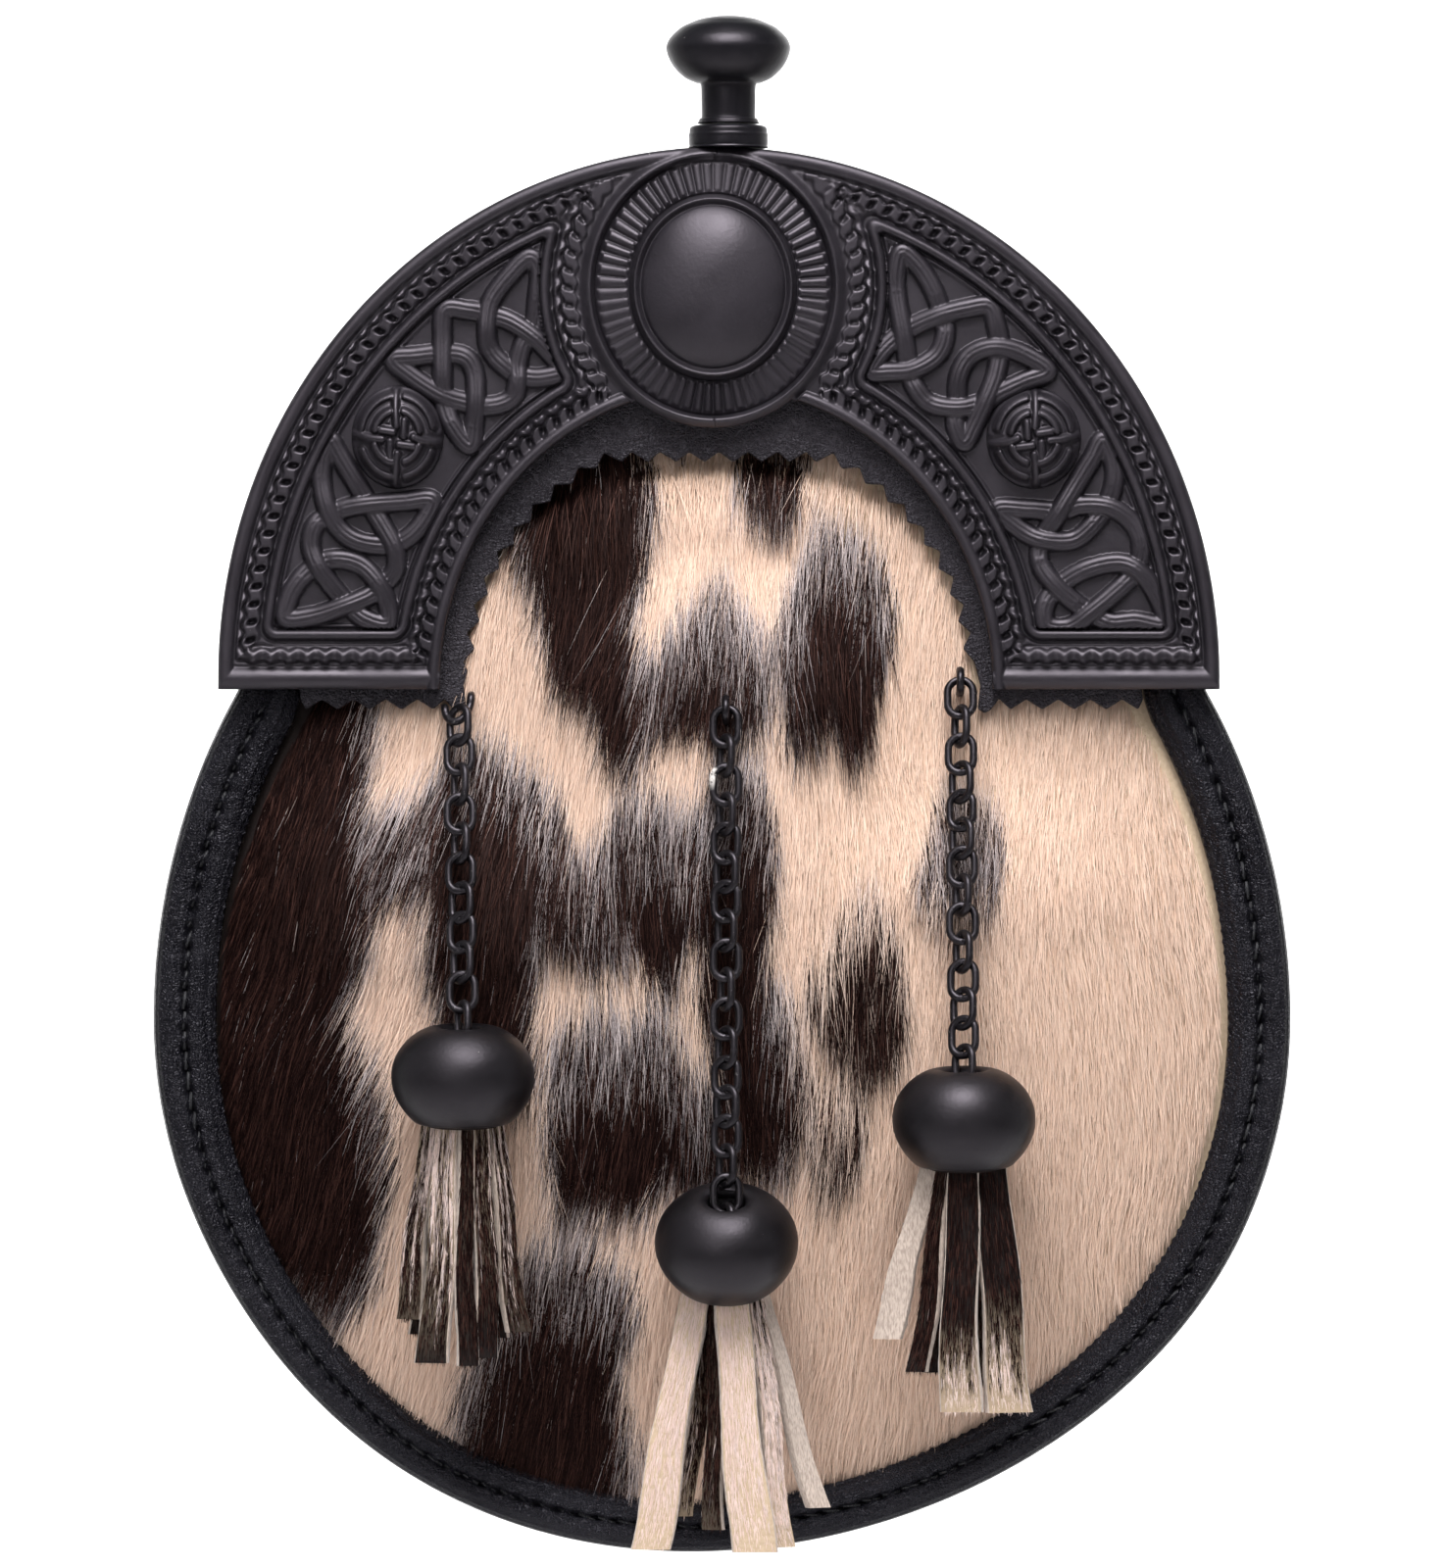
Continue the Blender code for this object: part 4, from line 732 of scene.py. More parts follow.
def hair_material(name, root, tip, palest):
    """Hair by its 'tone', 0 cream to 1 dark, 'grey' for long pale ones, and 'along' from root to tip."""
    made, t, shader = material(name, 0.5, specular=0.1, tint=(1.0, 0.62, 0.56))
    tone, grey, along, chance = [t.attribute(fact) for fact in ("tone", "grey", "along", "chance")]
    cream = t.mix(along, root, tip)
    cream = t.mix(t.map(chance, 0.0, 0.9, 0.0, 0.5), cream, palest)
    cream = t.mix(t.map(chance, 0.9, 0.94, 0.0, 0.32), cream, rgb(0.33, 0.19, 0.125))
    over_dark = t.math("MULTIPLY", grey, t.map(along, 0.05, 0.5))
    silver = t.mix(chance, rgb(0.22, 0.185, 0.195), rgb(0.66, 0.59, 0.60))
    pale = t.mix(over_dark, cream, silver)
    brown = t.mix(t.map(chance, 0.6, 1.0), rgb(0.0038, 0.0013, 0.0013), rgb(0.052, 0.023, 0.018))
    t.wire_up(shader, Base_Color=t.mix(tone, pale, brown))
    return made


def skin_material(name):
    """The hide under its hair: by 'tone' again, cream to nearly black; the patches are its own, and its
    cream, darker than the hair's, is painted shade between the hairs.
    """
    made, t, shader = material(name, 0.8, specular=0.2)
    fibre = t.noise(t.place(), 1.5, 4.0)
    # painted shade: this cream is darker than the hair's, so the skin showing between hairs reads as shaded
    cream = t.mix(fibre, rgb(0.42, 0.30, 0.20), rgb(0.66, 0.52, 0.38))
    base = t.mix(t.attribute("tone"), cream, rgb(0.008, 0.0045, 0.004))
    t.wire_up(shader, Base_Color=base, Normal=t.relief(fibre, 0.2, 0.6))
    return made


def suede_material(name):
    """The flesh side and cut edges of the hide: pale felted fibres."""
    made, t, shader = material(name, 0.9, specular=0.15, sheen=0.3)
    place_at = t.place()
    long_way = t.add("ShaderNodeMapping", {"Vector": place_at, "Scale": (1, 1, 0.25)})
    fibre, slow = t.noise(long_way.outputs[0], 4.0, 4.0), t.noise(place_at, 0.25, 3.0)
    base = t.mix(slow, rgb(0.42, 0.34, 0.29), rgb(0.66, 0.55, 0.48))
    base = t.mix(t.map(fibre, 0.35, 0.7), base, rgb(0.34, 0.27, 0.23))
    t.wire_up(shader, Base_Color=base, Normal=t.relief(fibre, 0.15))
    return made


def thread_material(name):
    """Black waxed thread with its twist."""
    made, t, shader = material(name, 0.6, specular=0.4)
    wave = t.add("ShaderNodeTexWave", {"Vector": t.place(), "Scale": 1.1 / MM, "Distortion": 1.0})
    twist = wave.outputs["Fac"]
    base = t.mix(twist, rgb(0.008, 0.008, 0.010), rgb(0.030, 0.030, 0.034))
    t.wire_up(shader, Base_Color=base, Normal=t.relief(twist, 0.08, 0.7))
    return made


METAL = painted_metal("cast cantle paint", (0.0074, 0.0064, 0.0084), 0.45)
KNOB_METAL = painted_metal("knob paint", (0.0030, 0.0030, 0.0040), 0.36, shine=0.28)
BEAD_METAL = painted_metal("bead paint", (0.0030, 0.0027, 0.0032), 0.42, 0.45, shine=0.34)
CHAIN_METAL = painted_metal("chain paint", (0.0028, 0.0025, 0.0030), 0.36, 0.6, worn=True, shine=0.36)
BORDER_LEATHER = leather("border leather", (0.0012, 0.0011, 0.0025), 1.9, 0.17, 0.34, 0.4, 0.22)
FACING_LEATHER = leather("facing leather", (0.010, 0.0082, 0.0106), 1.7, 0.27, 0.48, 0.6, 0.38)
BACK_LEATHER = leather("back leather", (0.0065, 0.0065, 0.0075), 1.1, 0.14, 0.5)
HAIR = hair_material("hide hair", rgb(0.52, 0.34, 0.23), rgb(0.80, 0.58, 0.46), rgb(0.84, 0.68, 0.58))
STRAP_HAIR = hair_material("strap hair", rgb(0.56, 0.40, 0.33), rgb(0.81, 0.62, 0.56), rgb(0.87, 0.74, 0.71))
SKIN = skin_material("hide skin")
SUEDE = suede_material("cut hide")
THREAD_LOOK = thread_material("waxed thread")


# ------------------------------------------------------------------ repeated shapes, as geometry nodes

def geometry_tree(name, inputs):
    """A tree that takes points and a material beside those inputs, and gives geometry."""
    rows = (("Geometry", "Geometry", None), *inputs, ("Material", "Material", None))
    tree, given, out = group(name, "GeometryNodeTree", rows, (("Geometry", "Geometry"),))
    return Tree(tree), given, out


def named(t, name, kind):
    return t.add("GeometryNodeInputNamedAttribute", {"Name": name}, data_type=kind).outputs["Attribute"]


def set_out(t, given, out, shape, first, second, size=None):
    """Ends a tree with the shape on every point; first and second are an axis and the vector it follows."""
    turn = t.add("FunctionNodeAxesToRotation", {
        "Primary Axis": named(t, first[1], "FLOAT_VECTOR"),
        "Secondary Axis": named(t, second[1], "FLOAT_VECTOR"),
    }, primary_axis=first[0], secondary_axis=second[0])
    inputs = {"Points": given["Geometry"], "Instance": shape, "Rotation": turn.outputs[0]}
    if size is not None:
        inputs["Scale"] = size
    instances = t.add("GeometryNodeInstanceOnPoints", inputs)
    solid = t.add("GeometryNodeRealizeInstances", {"Geometry": instances.outputs[0]})
    painted = t.add("GeometryNodeSetMaterial", {"Geometry": solid.outputs[0], "Material": given["Material"]})
    smoothed = t.add("GeometryNodeSetShadeSmooth", {"Geometry": painted.outputs[0]})
    t.tree.links.new(smoothed.outputs[0], out.inputs[0])


def hairs_tree():
    """One tapered, bent ribbon on each root, turned by 'up' and 'lie' and sized by 'reach' and 'girth'."""
    t, given, out = geometry_tree("hairs", (("Segments", "Int", 3), ("Bend", "Float", 0.12)))
    rows = t.math("ADD", given["Segments"], 1)
    ribbon = t.add("GeometryNodeMeshGrid", {"Size X": 1.0, "Size Y": 1.0, "Vertices X": 2})
    t.tree.links.new(rows, ribbon.inputs["Vertices Y"])
    spot = t.add("ShaderNodeSeparateXYZ", {0: t.add("GeometryNodeInputPosition").outputs[0]}).outputs
    along = t.math("ADD", spot[1], 0.5)
    slim = t.math("POWER", t.math("SUBTRACT", 1.04, along), 0.55)
    rise = t.math("MULTIPLY", t.math("MULTIPLY", along, t.math("SUBTRACT", 1.25, along)), given["Bend"])
    shape = t.add("ShaderNodeCombineXYZ", {0: t.math("MULTIPLY", spot[0], slim), 1: along, 2: rise})
    kept = t.add("GeometryNodeStoreNamedAttribute", {
        "Geometry": ribbon.outputs[0], "Name": "along", "Value": along,
    })
    bent = t.add("GeometryNodeSetPosition", {"Geometry": kept.outputs[0], "Position": shape.outputs[0]})
    reach = named(t, "reach", "FLOAT")
    size = t.add("ShaderNodeCombineXYZ", {0: named(t, "girth", "FLOAT"), 1: reach, 2: reach})
    set_out(t, given, out, bent.outputs[0], ("Z", "up"), ("Y", "lie"), size.outputs[0])
    return t.tree


def links_tree():
    """A link of round wire on each point, its long way along 'along' and its face towards 'flat'."""
    t, given, out = geometry_tree("chain links", (
        ("Wire", "Float", WIRE * MM), ("Width", "Float", LINK_WIDTH * MM),
        ("Length", "Float", (LINK_PITCH + 2 * WIRE) * MM),
    ))
    wide = t.math("SUBTRACT", given["Width"], given["Wire"])
    long = t.math("SUBTRACT", given["Length"], given["Wire"])
    box = t.add("GeometryNodeCurvePrimitiveQuadrilateral", {"Width": wide, "Height": long})
    oval = t.add("GeometryNodeFilletCurve", {
        "Curve": box.outputs[0], "Radius": t.math("MULTIPLY", wide, 0.499), "Count": 7, "Limit Radius": True,
    }, mode="POLY")
    wire = t.add("GeometryNodeCurvePrimitiveCircle", {
        "Resolution": 10, "Radius": t.math("MULTIPLY", given["Wire"], 0.5),
    })
    link = t.add("GeometryNodeCurveToMesh", {"Curve": oval.outputs[0], "Profile Curve": wire.outputs[0]})
    set_out(t, given, out, link.outputs[0], ("Y", "along"), ("X", "flat"))
    return t.tree


def stitches_tree():
    """A short arched run of thread on each point, along 'along' with 'up' away from the leather."""
    t, given, out = geometry_tree("stitches", (
        ("Thread", "Float", THREAD * MM), ("Length", "Float", 2.5 * MM), ("Rise", "Float", 0.35 * MM),
    ))
    half = t.math("MULTIPLY", given["Length"], 0.5)
    dip = t.math("MULTIPLY", given["Rise"], -1.2)
    start = t.add("ShaderNodeCombineXYZ", {0: t.math("MULTIPLY", half, -1.0), 2: dip})
    crown = t.add("ShaderNodeCombineXYZ", {2: t.math("MULTIPLY", given["Rise"], 2.2)})
    end = t.add("ShaderNodeCombineXYZ", {0: half, 2: dip})
    arch = t.add("GeometryNodeCurveQuadraticBezier", {
        "Resolution": 4, "Start": start.outputs[0], "Middle": crown.outputs[0], "End": end.outputs[0],
    })
    round_thread = t.add("GeometryNodeCurvePrimitiveCircle", {
        "Resolution": 6, "Radius": t.math("MULTIPLY", given["Thread"], 0.5),
    })
    stitch = t.add("GeometryNodeCurveToMesh", {
        "Curve": arch.outputs[0], "Profile Curve": round_thread.outputs[0], "Fill Caps": True,
    })
    set_out(t, given, out, stitch.outputs[0], ("X", "along"), ("Z", "up"))
    return t.tree


HAIRS, LINKS, STITCHES = hairs_tree(), links_tree(), stitches_tree()


def repeated(name, tree, look, points, facts, **inputs):
    """One mesh of the tree's shape on every point; facts are the numbers or vectors that each point has."""
    obj = point_mesh(name, points)[0]
    for fact, values in facts.items():
        store(obj, fact, values)
    repeat = obj.modifiers.new(name, "NODES")
    repeat.node_group = tree
    given = {"Material": look, **inputs}
    for socket in tree.interface.items_tree:
        if socket.in_out == "INPUT" and socket.name in given:
            repeat[socket.identifier] = given[socket.name]
    settle(obj)
    for extra in ("up", "lie", "reach", "girth", "flat"):
        if extra in obj.data.attributes:
            obj.data.attributes.remove(obj.data.attributes[extra])
    return obj


# ------------------------------------------------------------------ cantle

def ellipse_inside(x, z, centre_x, centre_z, half_width, half_height, open_below=False):
    """Distance in from an ellipse's line; below its middle the sides may run straight down."""
    rise = np.maximum(z - centre_z, 0) if open_below else z - centre_z
    u, v = (x - centre_x) / half_width, rise / half_height
    reach = np.maximum(np.hypot(u, v), 1e-6)
    slope = np.hypot(u / half_width, v / half_height) / reach
    return (1 - reach) / slope


def cantle_distances(x, z):
    """How far a point is in from each edge of the band that carries the mouldings."""
    return {
        "outer": ellipse_inside(x, z, CANTLE_X, CANTLE_Z, CANTLE_HALF_WIDTH, CANTLE_HEIGHT, True),
        "arch": -ellipse_inside(x, z, ARCH_X, ARCH_Z, ARCH_HALF_WIDTH, ARCH_HEIGHT, True),
        "foot": z - FOOT_Z,
        "medallion": -medallion_inside(x, z),
    }


def medallion_inside(x, z):
    """How far in a point is from the medallion's edge."""
    return ellipse_inside(x, z, MEDALLION_X, MEDALLION_Z, MEDALLION_HALF_WIDTH, MEDALLION_HALF_HEIGHT)


def along_edges(x, z):
    """Distance along each edge, for the beat of the rope."""
    over = np.arctan2(np.maximum(z - CANTLE_Z, 0) / CANTLE_HEIGHT, np.abs(x - CANTLE_X) / CANTLE_HALF_WIDTH)
    under = np.arctan2(np.maximum(z - ARCH_Z, 0) / ARCH_HEIGHT, np.abs(x - ARCH_X) / ARCH_HALF_WIDTH)
    around = np.arctan2(z - MEDALLION_Z, np.abs(x - MEDALLION_X))
    return {
        "outer": over * 78.0 + np.minimum(z - CANTLE_Z, 0), "arch": under * 46.0,
        "foot": np.abs(x), "medallion": around * 24.0,
    }


def knot_height(x, z):
    """Height of the knots' strands over the plate, and how deep the line down their middle is."""
    height = np.full(x.shape, -9.0)
    for rows in KNOTS.values():
        line = flowing_loop(rows, 14)
        low, high = line[:, :2].min(0) - 2, line[:, :2].max(0) + 2
        near = np.where((x > low[0]) & (x < high[0]) & (z > low[1]) & (z < high[1]))
        px, pz = x[near], z[near]
        best = np.full(px.shape, -9.0)
        stretch = 28
        for start in range(0, len(line), stretch):
            part = line[np.arange(start, start + stretch + 1) % len(line)]
            inside = np.where(
                (px > part[:, 0].min() - 2) & (px < part[:, 0].max() + 2)
                & (pz > part[:, 1].min() - 2) & (pz < part[:, 1].max() + 2)
            )[0]
            if not len(inside):
                continue
            gap = np.hypot(px[inside, None] - part[:, 0], pz[inside, None] - part[:, 1])
            nearest = gap.argmin(1)
            distance = gap[np.arange(len(inside)), nearest]
            lift = part[nearest, 2] * CROSSING_STEP
            crest = STRAND_RISE + lift - 0.16 * np.exp(-((distance - 0.4) / 0.15) ** 2)
            side = bump(np.minimum(distance / STRAND_HALF, 1)) ** 0.55
            rise = PANEL_LEVEL - 0.2 + (crest - PANEL_LEVEL + 0.2) * side
            rise = np.where(distance < STRAND_HALF, rise, -9.0)
            best[inside] = np.maximum(best[inside], rise)
        height[near] = np.maximum(height[near], best)
    return height


def roll_height(inside, roll):
    """Height of a roll and of the groove beside it, by the distance in from the edge."""
    half, rise, width, softness = roll
    groove = -0.15 + (BAND_LEVEL + 0.15) * smooth((inside - 2 * half) / (width - 2 * half))
    return groove + rise * bump((inside - half) / half) ** softness


def band_height(x, z):
    """Height of the cantle's band over its plate."""
    inside, beat = cantle_distances(x, z), along_edges(x, z)
    names = list(MOULDINGS)

    def outside_of(column):
        offsets = np.stack([MOULDINGS[name][column] - inside[name] for name in names]) + CORNER
        nearest = offsets.argmax(0)
        rounded = np.sqrt((np.maximum(offsets, 0) ** 2).sum(0)) + np.minimum(offsets.max(0), 0)
        return rounded - CORNER, nearest

    rope, by = outside_of(0)
    dent, rib = outside_of(1)[0], outside_of(2)[0]
    phase = np.take_along_axis(np.stack([beat[name] for name in names]), by[None], 0)[0]
    pitch, rise = (np.array([table[name] for name in names])[by] for table in (ROPE_PITCH, ROPE_RISE))
    turn = 2 * np.pi * phase / pitch
    at_foot = by == names.index("foot")

    height = PANEL_LEVEL + (BAND_LEVEL - PANEL_LEVEL) * smooth((rib + 1.0) / 0.5)
    height = height + 0.85 * bump(rib / 0.78) + 0.4 * bump((rib + 1.4) / 0.38)
    height = height - 0.4 * np.exp(-((rib + 0.95) / 0.18) ** 2) - 0.55 * np.exp(-((rib - 1.15) / 0.3) ** 2)
    side = np.where(by == names.index("outer"), 1, -1)
    waved = side * rope + 0.3 * np.sin(turn)
    lump = rise * (0.55 + 0.45 * np.cos(turn)) * bump((waved - 0.72) / 0.68)
    ledge = 0.5 * smooth(-waved / 0.3) * (1 - smooth((-waved - 2.2) / 0.4))
    cord = lump + ledge - 0.5 * np.exp(-(waved / 0.2) ** 2)
    beads = np.cos(turn)
    scalloped = rope - 0.24 * beads
    foot_cord = 1.35 * bump(scalloped / 1.15) ** 1.1 * (0.78 + 0.22 * beads)
    foot_cord = foot_cord - 0.5 * np.exp(-((scalloped - 1.45) / 0.3) ** 2)
    foot_cord = foot_cord - 0.3 * np.exp(-((rope + 1.5) / 0.3) ** 2)
    height = height + np.where(at_foot, foot_cord, cord)
    beat_in = ((phase / pitch + 0.5) % 1.0 - 0.5) * pitch + 0.3 * dent
    oval = np.exp(-(dent / 0.72) ** 4 - (beat_in / 0.5) ** 4)
    depth = np.where(by == names.index("medallion"), 0.7, 1.3)
    height = height - np.where(at_foot, 0.0, depth * oval)

    share = np.minimum(inside["outer"] / OUTER_ROLL[2], inside["foot"] / FOOT_ROLL[2])
    at_outer = inside["outer"] / OUTER_ROLL[2] < inside["foot"] / FOOT_ROLL[2]
    outer_roll, foot_roll = roll_height(inside["outer"], OUTER_ROLL), roll_height(inside["foot"], FOOT_ROLL)
    roll = np.where(at_outer, outer_roll, foot_roll)
    height = np.where(share < 1, roll, height)
    roll_here = np.where(share < 1, roll, -9)
    arch_roll = roll_height(inside["arch"], ARCH_ROLL)
    height = np.where(inside["arch"] < ARCH_ROLL[2], np.maximum(arch_roll, roll_here), height)

    knots = knot_height(x, z)
    height = np.where(rib < -1.0, np.maximum(height, knots), height)

    into = medallion_inside(x, z)
    ring = eased(into, ((-1.2, -0.4), (-0.6, 0.2), *MEDALLION_ROWS[1:], (90.0, -0.6)))
    return np.where(into > -0.6, np.maximum(ring, roll_here), height)


def cantle_edge(middle_x, middle_z, half_width, height):
    """An edge of the cantle from its foot straight up, then round to the middle of the medallion."""
    angle = np.linspace(0, math.pi / 2, CANTLE_STEPS)
    line = np.stack([middle_x + half_width * np.cos(angle), middle_z + height * np.sin(angle)], -1)
    line[-1, 0] = MEDALLION_X
    share = np.linspace(0, 1, CANTLE_STRAIGHT_STEPS + 1)[:-1, None]
    foot = np.array([middle_x + half_width, FOOT_Z])
    return np.vstack([foot + (line[0] - foot) * share, line])


def make_cantle_half(name, side):
    """Half of the arch, left (-1) or right (1): its moulded face, the wall to the hide and a hollow back."""
    outer = cantle_edge(CANTLE_X, CANTLE_Z, side * CANTLE_HALF_WIDTH, CANTLE_HEIGHT)
    arch = cantle_edge(ARCH_X, ARCH_Z, side * ARCH_HALF_WIDTH, ARCH_HEIGHT)
    # a column that ends inside the medallion runs on to the medallion's own lower edge
    reach = np.clip((arch[:, 0] - MEDALLION_X) / MEDALLION_HALF_WIDTH, -1, 1)
    under = MEDALLION_Z - MEDALLION_HALF_HEIGHT * np.sqrt(1 - reach ** 2)
    arch[:, 1] = np.where(np.abs(reach) < 1, np.minimum(arch[:, 1], under), arch[:, 1])
    across = np.linspace(0, 1, CANTLE_ROWS)[:, None, None]
    flat = outer[None] + (arch - outer)[None] * across
    x, z = flat[..., 0], flat[..., 1]
    height = band_height(x, z)
    front = np.stack([x, PLATE_Y - height, z], -1)
    wall, hide_side = outer + (arch - outer) * CANTLE_WALL, FLANGE_Y - GAP
    rim = [at_depth(outer, y) for y in (hide_side, PLATE_Y + OUTER_DROP)]
    back = [at_depth(arch, y) for y in (PLATE_Y + ARCH_DROP, PLATE_BACK_Y)]
    behind = [at_depth(wall, y) for y in (PLATE_BACK_Y, hide_side)]
    rows = np.concatenate([np.stack(rim), front, np.stack(back + behind)])
    count, columns = rows.shape[:2]
    ends = [np.arange(count) * columns, (np.arange(count) * columns + columns - 1)[::-1]]
    obj = piece(name, rows, quads(count, columns, wrap_rows=True), METAL, ends)
    # painted shade for the bottoms of the relief, read by the metal as 'hollow'
    lower = np.zeros((count, columns))
    lower[2:-4] = hollow_shade(height)
    store(obj, "hollow", lower.ravel())
    return place(obj, "black_metal", "cantle")


def hollow_shade(height):
    """Where a grid of heights lies below its neighbours: 0 on crests to 1 in the bottoms, the share of
    painted shade there.
    """
    around = height.copy()
    for _ in range(6):
        padded = np.pad(around, 1, mode="edge")
        around = (padded[:-2, 1:-1] + padded[2:, 1:-1] + padded[1:-1, :-2] + padded[1:-1, 2:]) / 4
    return np.clip((around - height - 0.02) / 0.22, 0, 1)


def raised_form(name, x, z, height, sunk):
    """A round form raised on the cantle's plate, over rings of points, its foot sunk that far into it."""
    points = np.stack([x, PLATE_Y - height, z], -1)
    base = points[:1].copy()
    base[..., 1] = PLATE_Y + sunk
    obj = skinned(name, np.concatenate([base, points]), METAL)
    # painted shade for the bottoms of the relief, read by the metal as 'hollow'
    lower = hollow_shade(height)
    store(obj, "hollow", np.vstack([lower[:1], lower]).ravel())
    place(obj, "black_metal")


def make_medallion():
    """Inside the medallion's roll: pillowed flutes, the ring and the dome."""
    sides = FLUTES * FLUTE_SIDES
    angle = 2 * np.pi * np.arange(sides) / sides
    depth = np.concatenate([np.linspace(2.0, 9.6, 64), np.linspace(9.8, MEDALLION_HALF_WIDTH - 0.05, 44)])
    half_width, half_height = MEDALLION_HALF_WIDTH - depth, MEDALLION_HALF_HEIGHT - depth
    half_height = np.maximum(half_height, half_width)
    x = MEDALLION_X + half_width[:, None] * np.cos(angle)
    z = MEDALLION_Z + half_height[:, None] * np.sin(angle)
    into = depth[:, None] + 0 * angle
    uneven = 0.3 * np.sin(5 * angle + 1.0) + 0.25 * np.sin(11 * angle) + 0.2 * np.sin(17 * angle + 2)
    pillow = np.abs(np.sin((angle * FLUTES + uneven) / 2)) ** 0.55
    strength = 0.55 + 0.2 * np.sin(3 * angle + 0.5) + 0.12 * np.sin(7 * angle)
    share = (into - FLUTE_FROM) / (FLUTE_TO - FLUTE_FROM)
    fade = np.clip(np.minimum(share / 0.12, (1 - share) / 0.12), 0, 1)
    slope = 0.1 + 0.9 * np.clip(share, 0, 1)
    height = np.where(share < 0, -0.35 + 0.3 * smooth(share + 1), slope)
    height = height + fade * (pillow - 0.45) * strength * 1.25
    ring = eased(into, ((RING_FROM, 0.6), (RING_FROM + 1.0, 2.95), (RING_TO, 2.2), (90, 2.2)))
    height = np.where(into > RING_FROM, ring, height)
    radius = np.clip((MEDALLION_HALF_WIDTH - into) / (MEDALLION_HALF_WIDTH - DOME_FROM), 0, 1)
    dome = DOME_FOOT + (DOME_TOP - DOME_FOOT) * (1 - radius ** 2) ** 0.75
    height = np.where(into > DOME_FROM, dome, height)
    raised_form("cantle_medallion", x, z, height, 1.2)


def make_boss(name, x, z, half_width, half_height, mirrored):
    """A round boss: a dome with a woven cross and two bands in each quarter."""
    angle = 2 * np.pi * np.arange(BOSS_SIDES) / BOSS_SIDES
    share = np.linspace(1.0, 0.004, BOSS_RINGS)[:, None]
    u, v = share * np.cos(angle), share * np.sin(angle)
    u_pattern = -u if mirrored else u
    height = -0.5 + (BOSS_HEIGHT + 0.5) * (1 - share ** 2.4) ** 0.62 + 0 * angle
    bands = [flowing([(a, b, 0) for a, b in rows], 30)[:, :2] for rows in BOSS_BARS]
    for radius, start, end in BOSS_ARCS:
        turn = np.radians(np.linspace(start, end, 24))
        bands.append(radius * np.stack([np.cos(turn), np.sin(turn)], -1))
    gap = np.full(u.shape, 9.0)
    for band in bands:
        away = np.hypot(u_pattern[..., None] - band[:, 0], v[..., None] - band[:, 1])
        gap = np.minimum(gap, away.min(-1))
    relief = 0.75 * bump(gap / BOSS_BAND) - 0.35 * np.exp(-((gap - BOSS_BAND - 0.045) / 0.04) ** 2)
    height = height + relief * smooth((1 - share) / 0.05)
    raised_form(name, x + half_width * u, z + half_height * v, height, 1.0)


def make_finial(name, node, profile):
    """The knob or its collar, turned round one upright axis."""
    line = flowing(profile, KNOB_ROWS)
    line[:, 0] = np.maximum(line[:, 0], 0.02)
    obj = skinned(name, turned(line, (KNOB_X, KNOB_Y, 0), KNOB_SIDES), KNOB_METAL)
    place(obj, "black_metal", node)


# ------------------------------------------------------------------ leather

def make_border():
    """The padded border: two rolls, the stitched groove with its puckers, and a finely pinked inner edge."""
    path = border_path(BORDER_STEPS)
    travelled = distances(path)
    width = border_width(path[:, 1])
    beat = 2 * np.pi * travelled / STITCH_PITCH
    shares = np.concatenate([np.linspace(0, 0.12, 7), np.linspace(0.15, 0.98, 40), [1.0]])
    section = [(0.9, FLANGE_Y - GAP), (0.9, -13.8), (0.0, -13.8), (0.0, -16.4)]
    wander = 0.25 * drift(travelled, 0 * travelled, 22.0, 3)
    for share in shares:
        y = eased(np.full(1, share), BORDER_ROWS)[0]
        across = share * width
        crease = 0.22 * drift(travelled, across * 1.7, 5.0, 5) + 0.1 * drift(travelled, across * 2.5, 1.6, 6)
        groove = np.exp(-((share - GROOVE_SHARE) / 0.05) ** 2)
        pucker = np.exp(-((share - GROOVE_SHARE) / 0.14) ** 2)
        face = y - crease * min(1, 4 * share) + groove * GROOVE_DEPTH * (0.75 + 0.45 * np.cos(beat))
        face = face + 0.22 * pucker * np.cos(beat)
        teeth = PINK_REACH * np.abs((travelled / PINK_WIDTH) % 1 - 0.5) * 2 - 0.1
        edge = teeth * max(0.0, (share - 0.94) / 0.06)
        section.append((across + wander * share + edge, face))
    section.append((width + 0.05, FLANGE_Y - 0.35))
    obj = skinned("edge_border", sweep(path, section), BORDER_LEATHER)
    place(obj, "black_leather", "edge_binding")
    inset, run = width * GROOVE_SHARE, BORDER_STITCH * MM
    sew("border_stitches", path, STITCH_Y, -1.0, inset, slanted=True, Length=run)


def sew(name, path, y, side, inset=0.0, slanted=False, **sizes):
    """Stitches on a face at y, on a line of x and z or that far in from it; side is -1 for a front face."""
    travelled = distances(path)
    marks = np.arange(STITCH_PITCH / 2, travelled[-1], STITCH_PITCH)
    along, inward = headings(path, False)
    line = path + inward * np.broadcast_to(inset, len(path))[:, None]
    x, z, run_x, run_z = [np.interp(marks, travelled, values) for values in np.hstack([line, along]).T]
    tilt = 0.22 + 0.12 * np.sin(marks * 1.7) if slanted else 0.0
    run = np.stack([run_x + tilt * run_z, 0 * x, run_z - tilt * run_x], -1)
    up = np.tile((0.0, side, 0.0), (len(marks), 1))
    points = at_depth(np.stack([x, z], -1), y)
    obj = repeated(name, STITCHES, THREAD_LOOK, points, {"along": run, "up": up}, **sizes)
    place(obj, "black_leather")


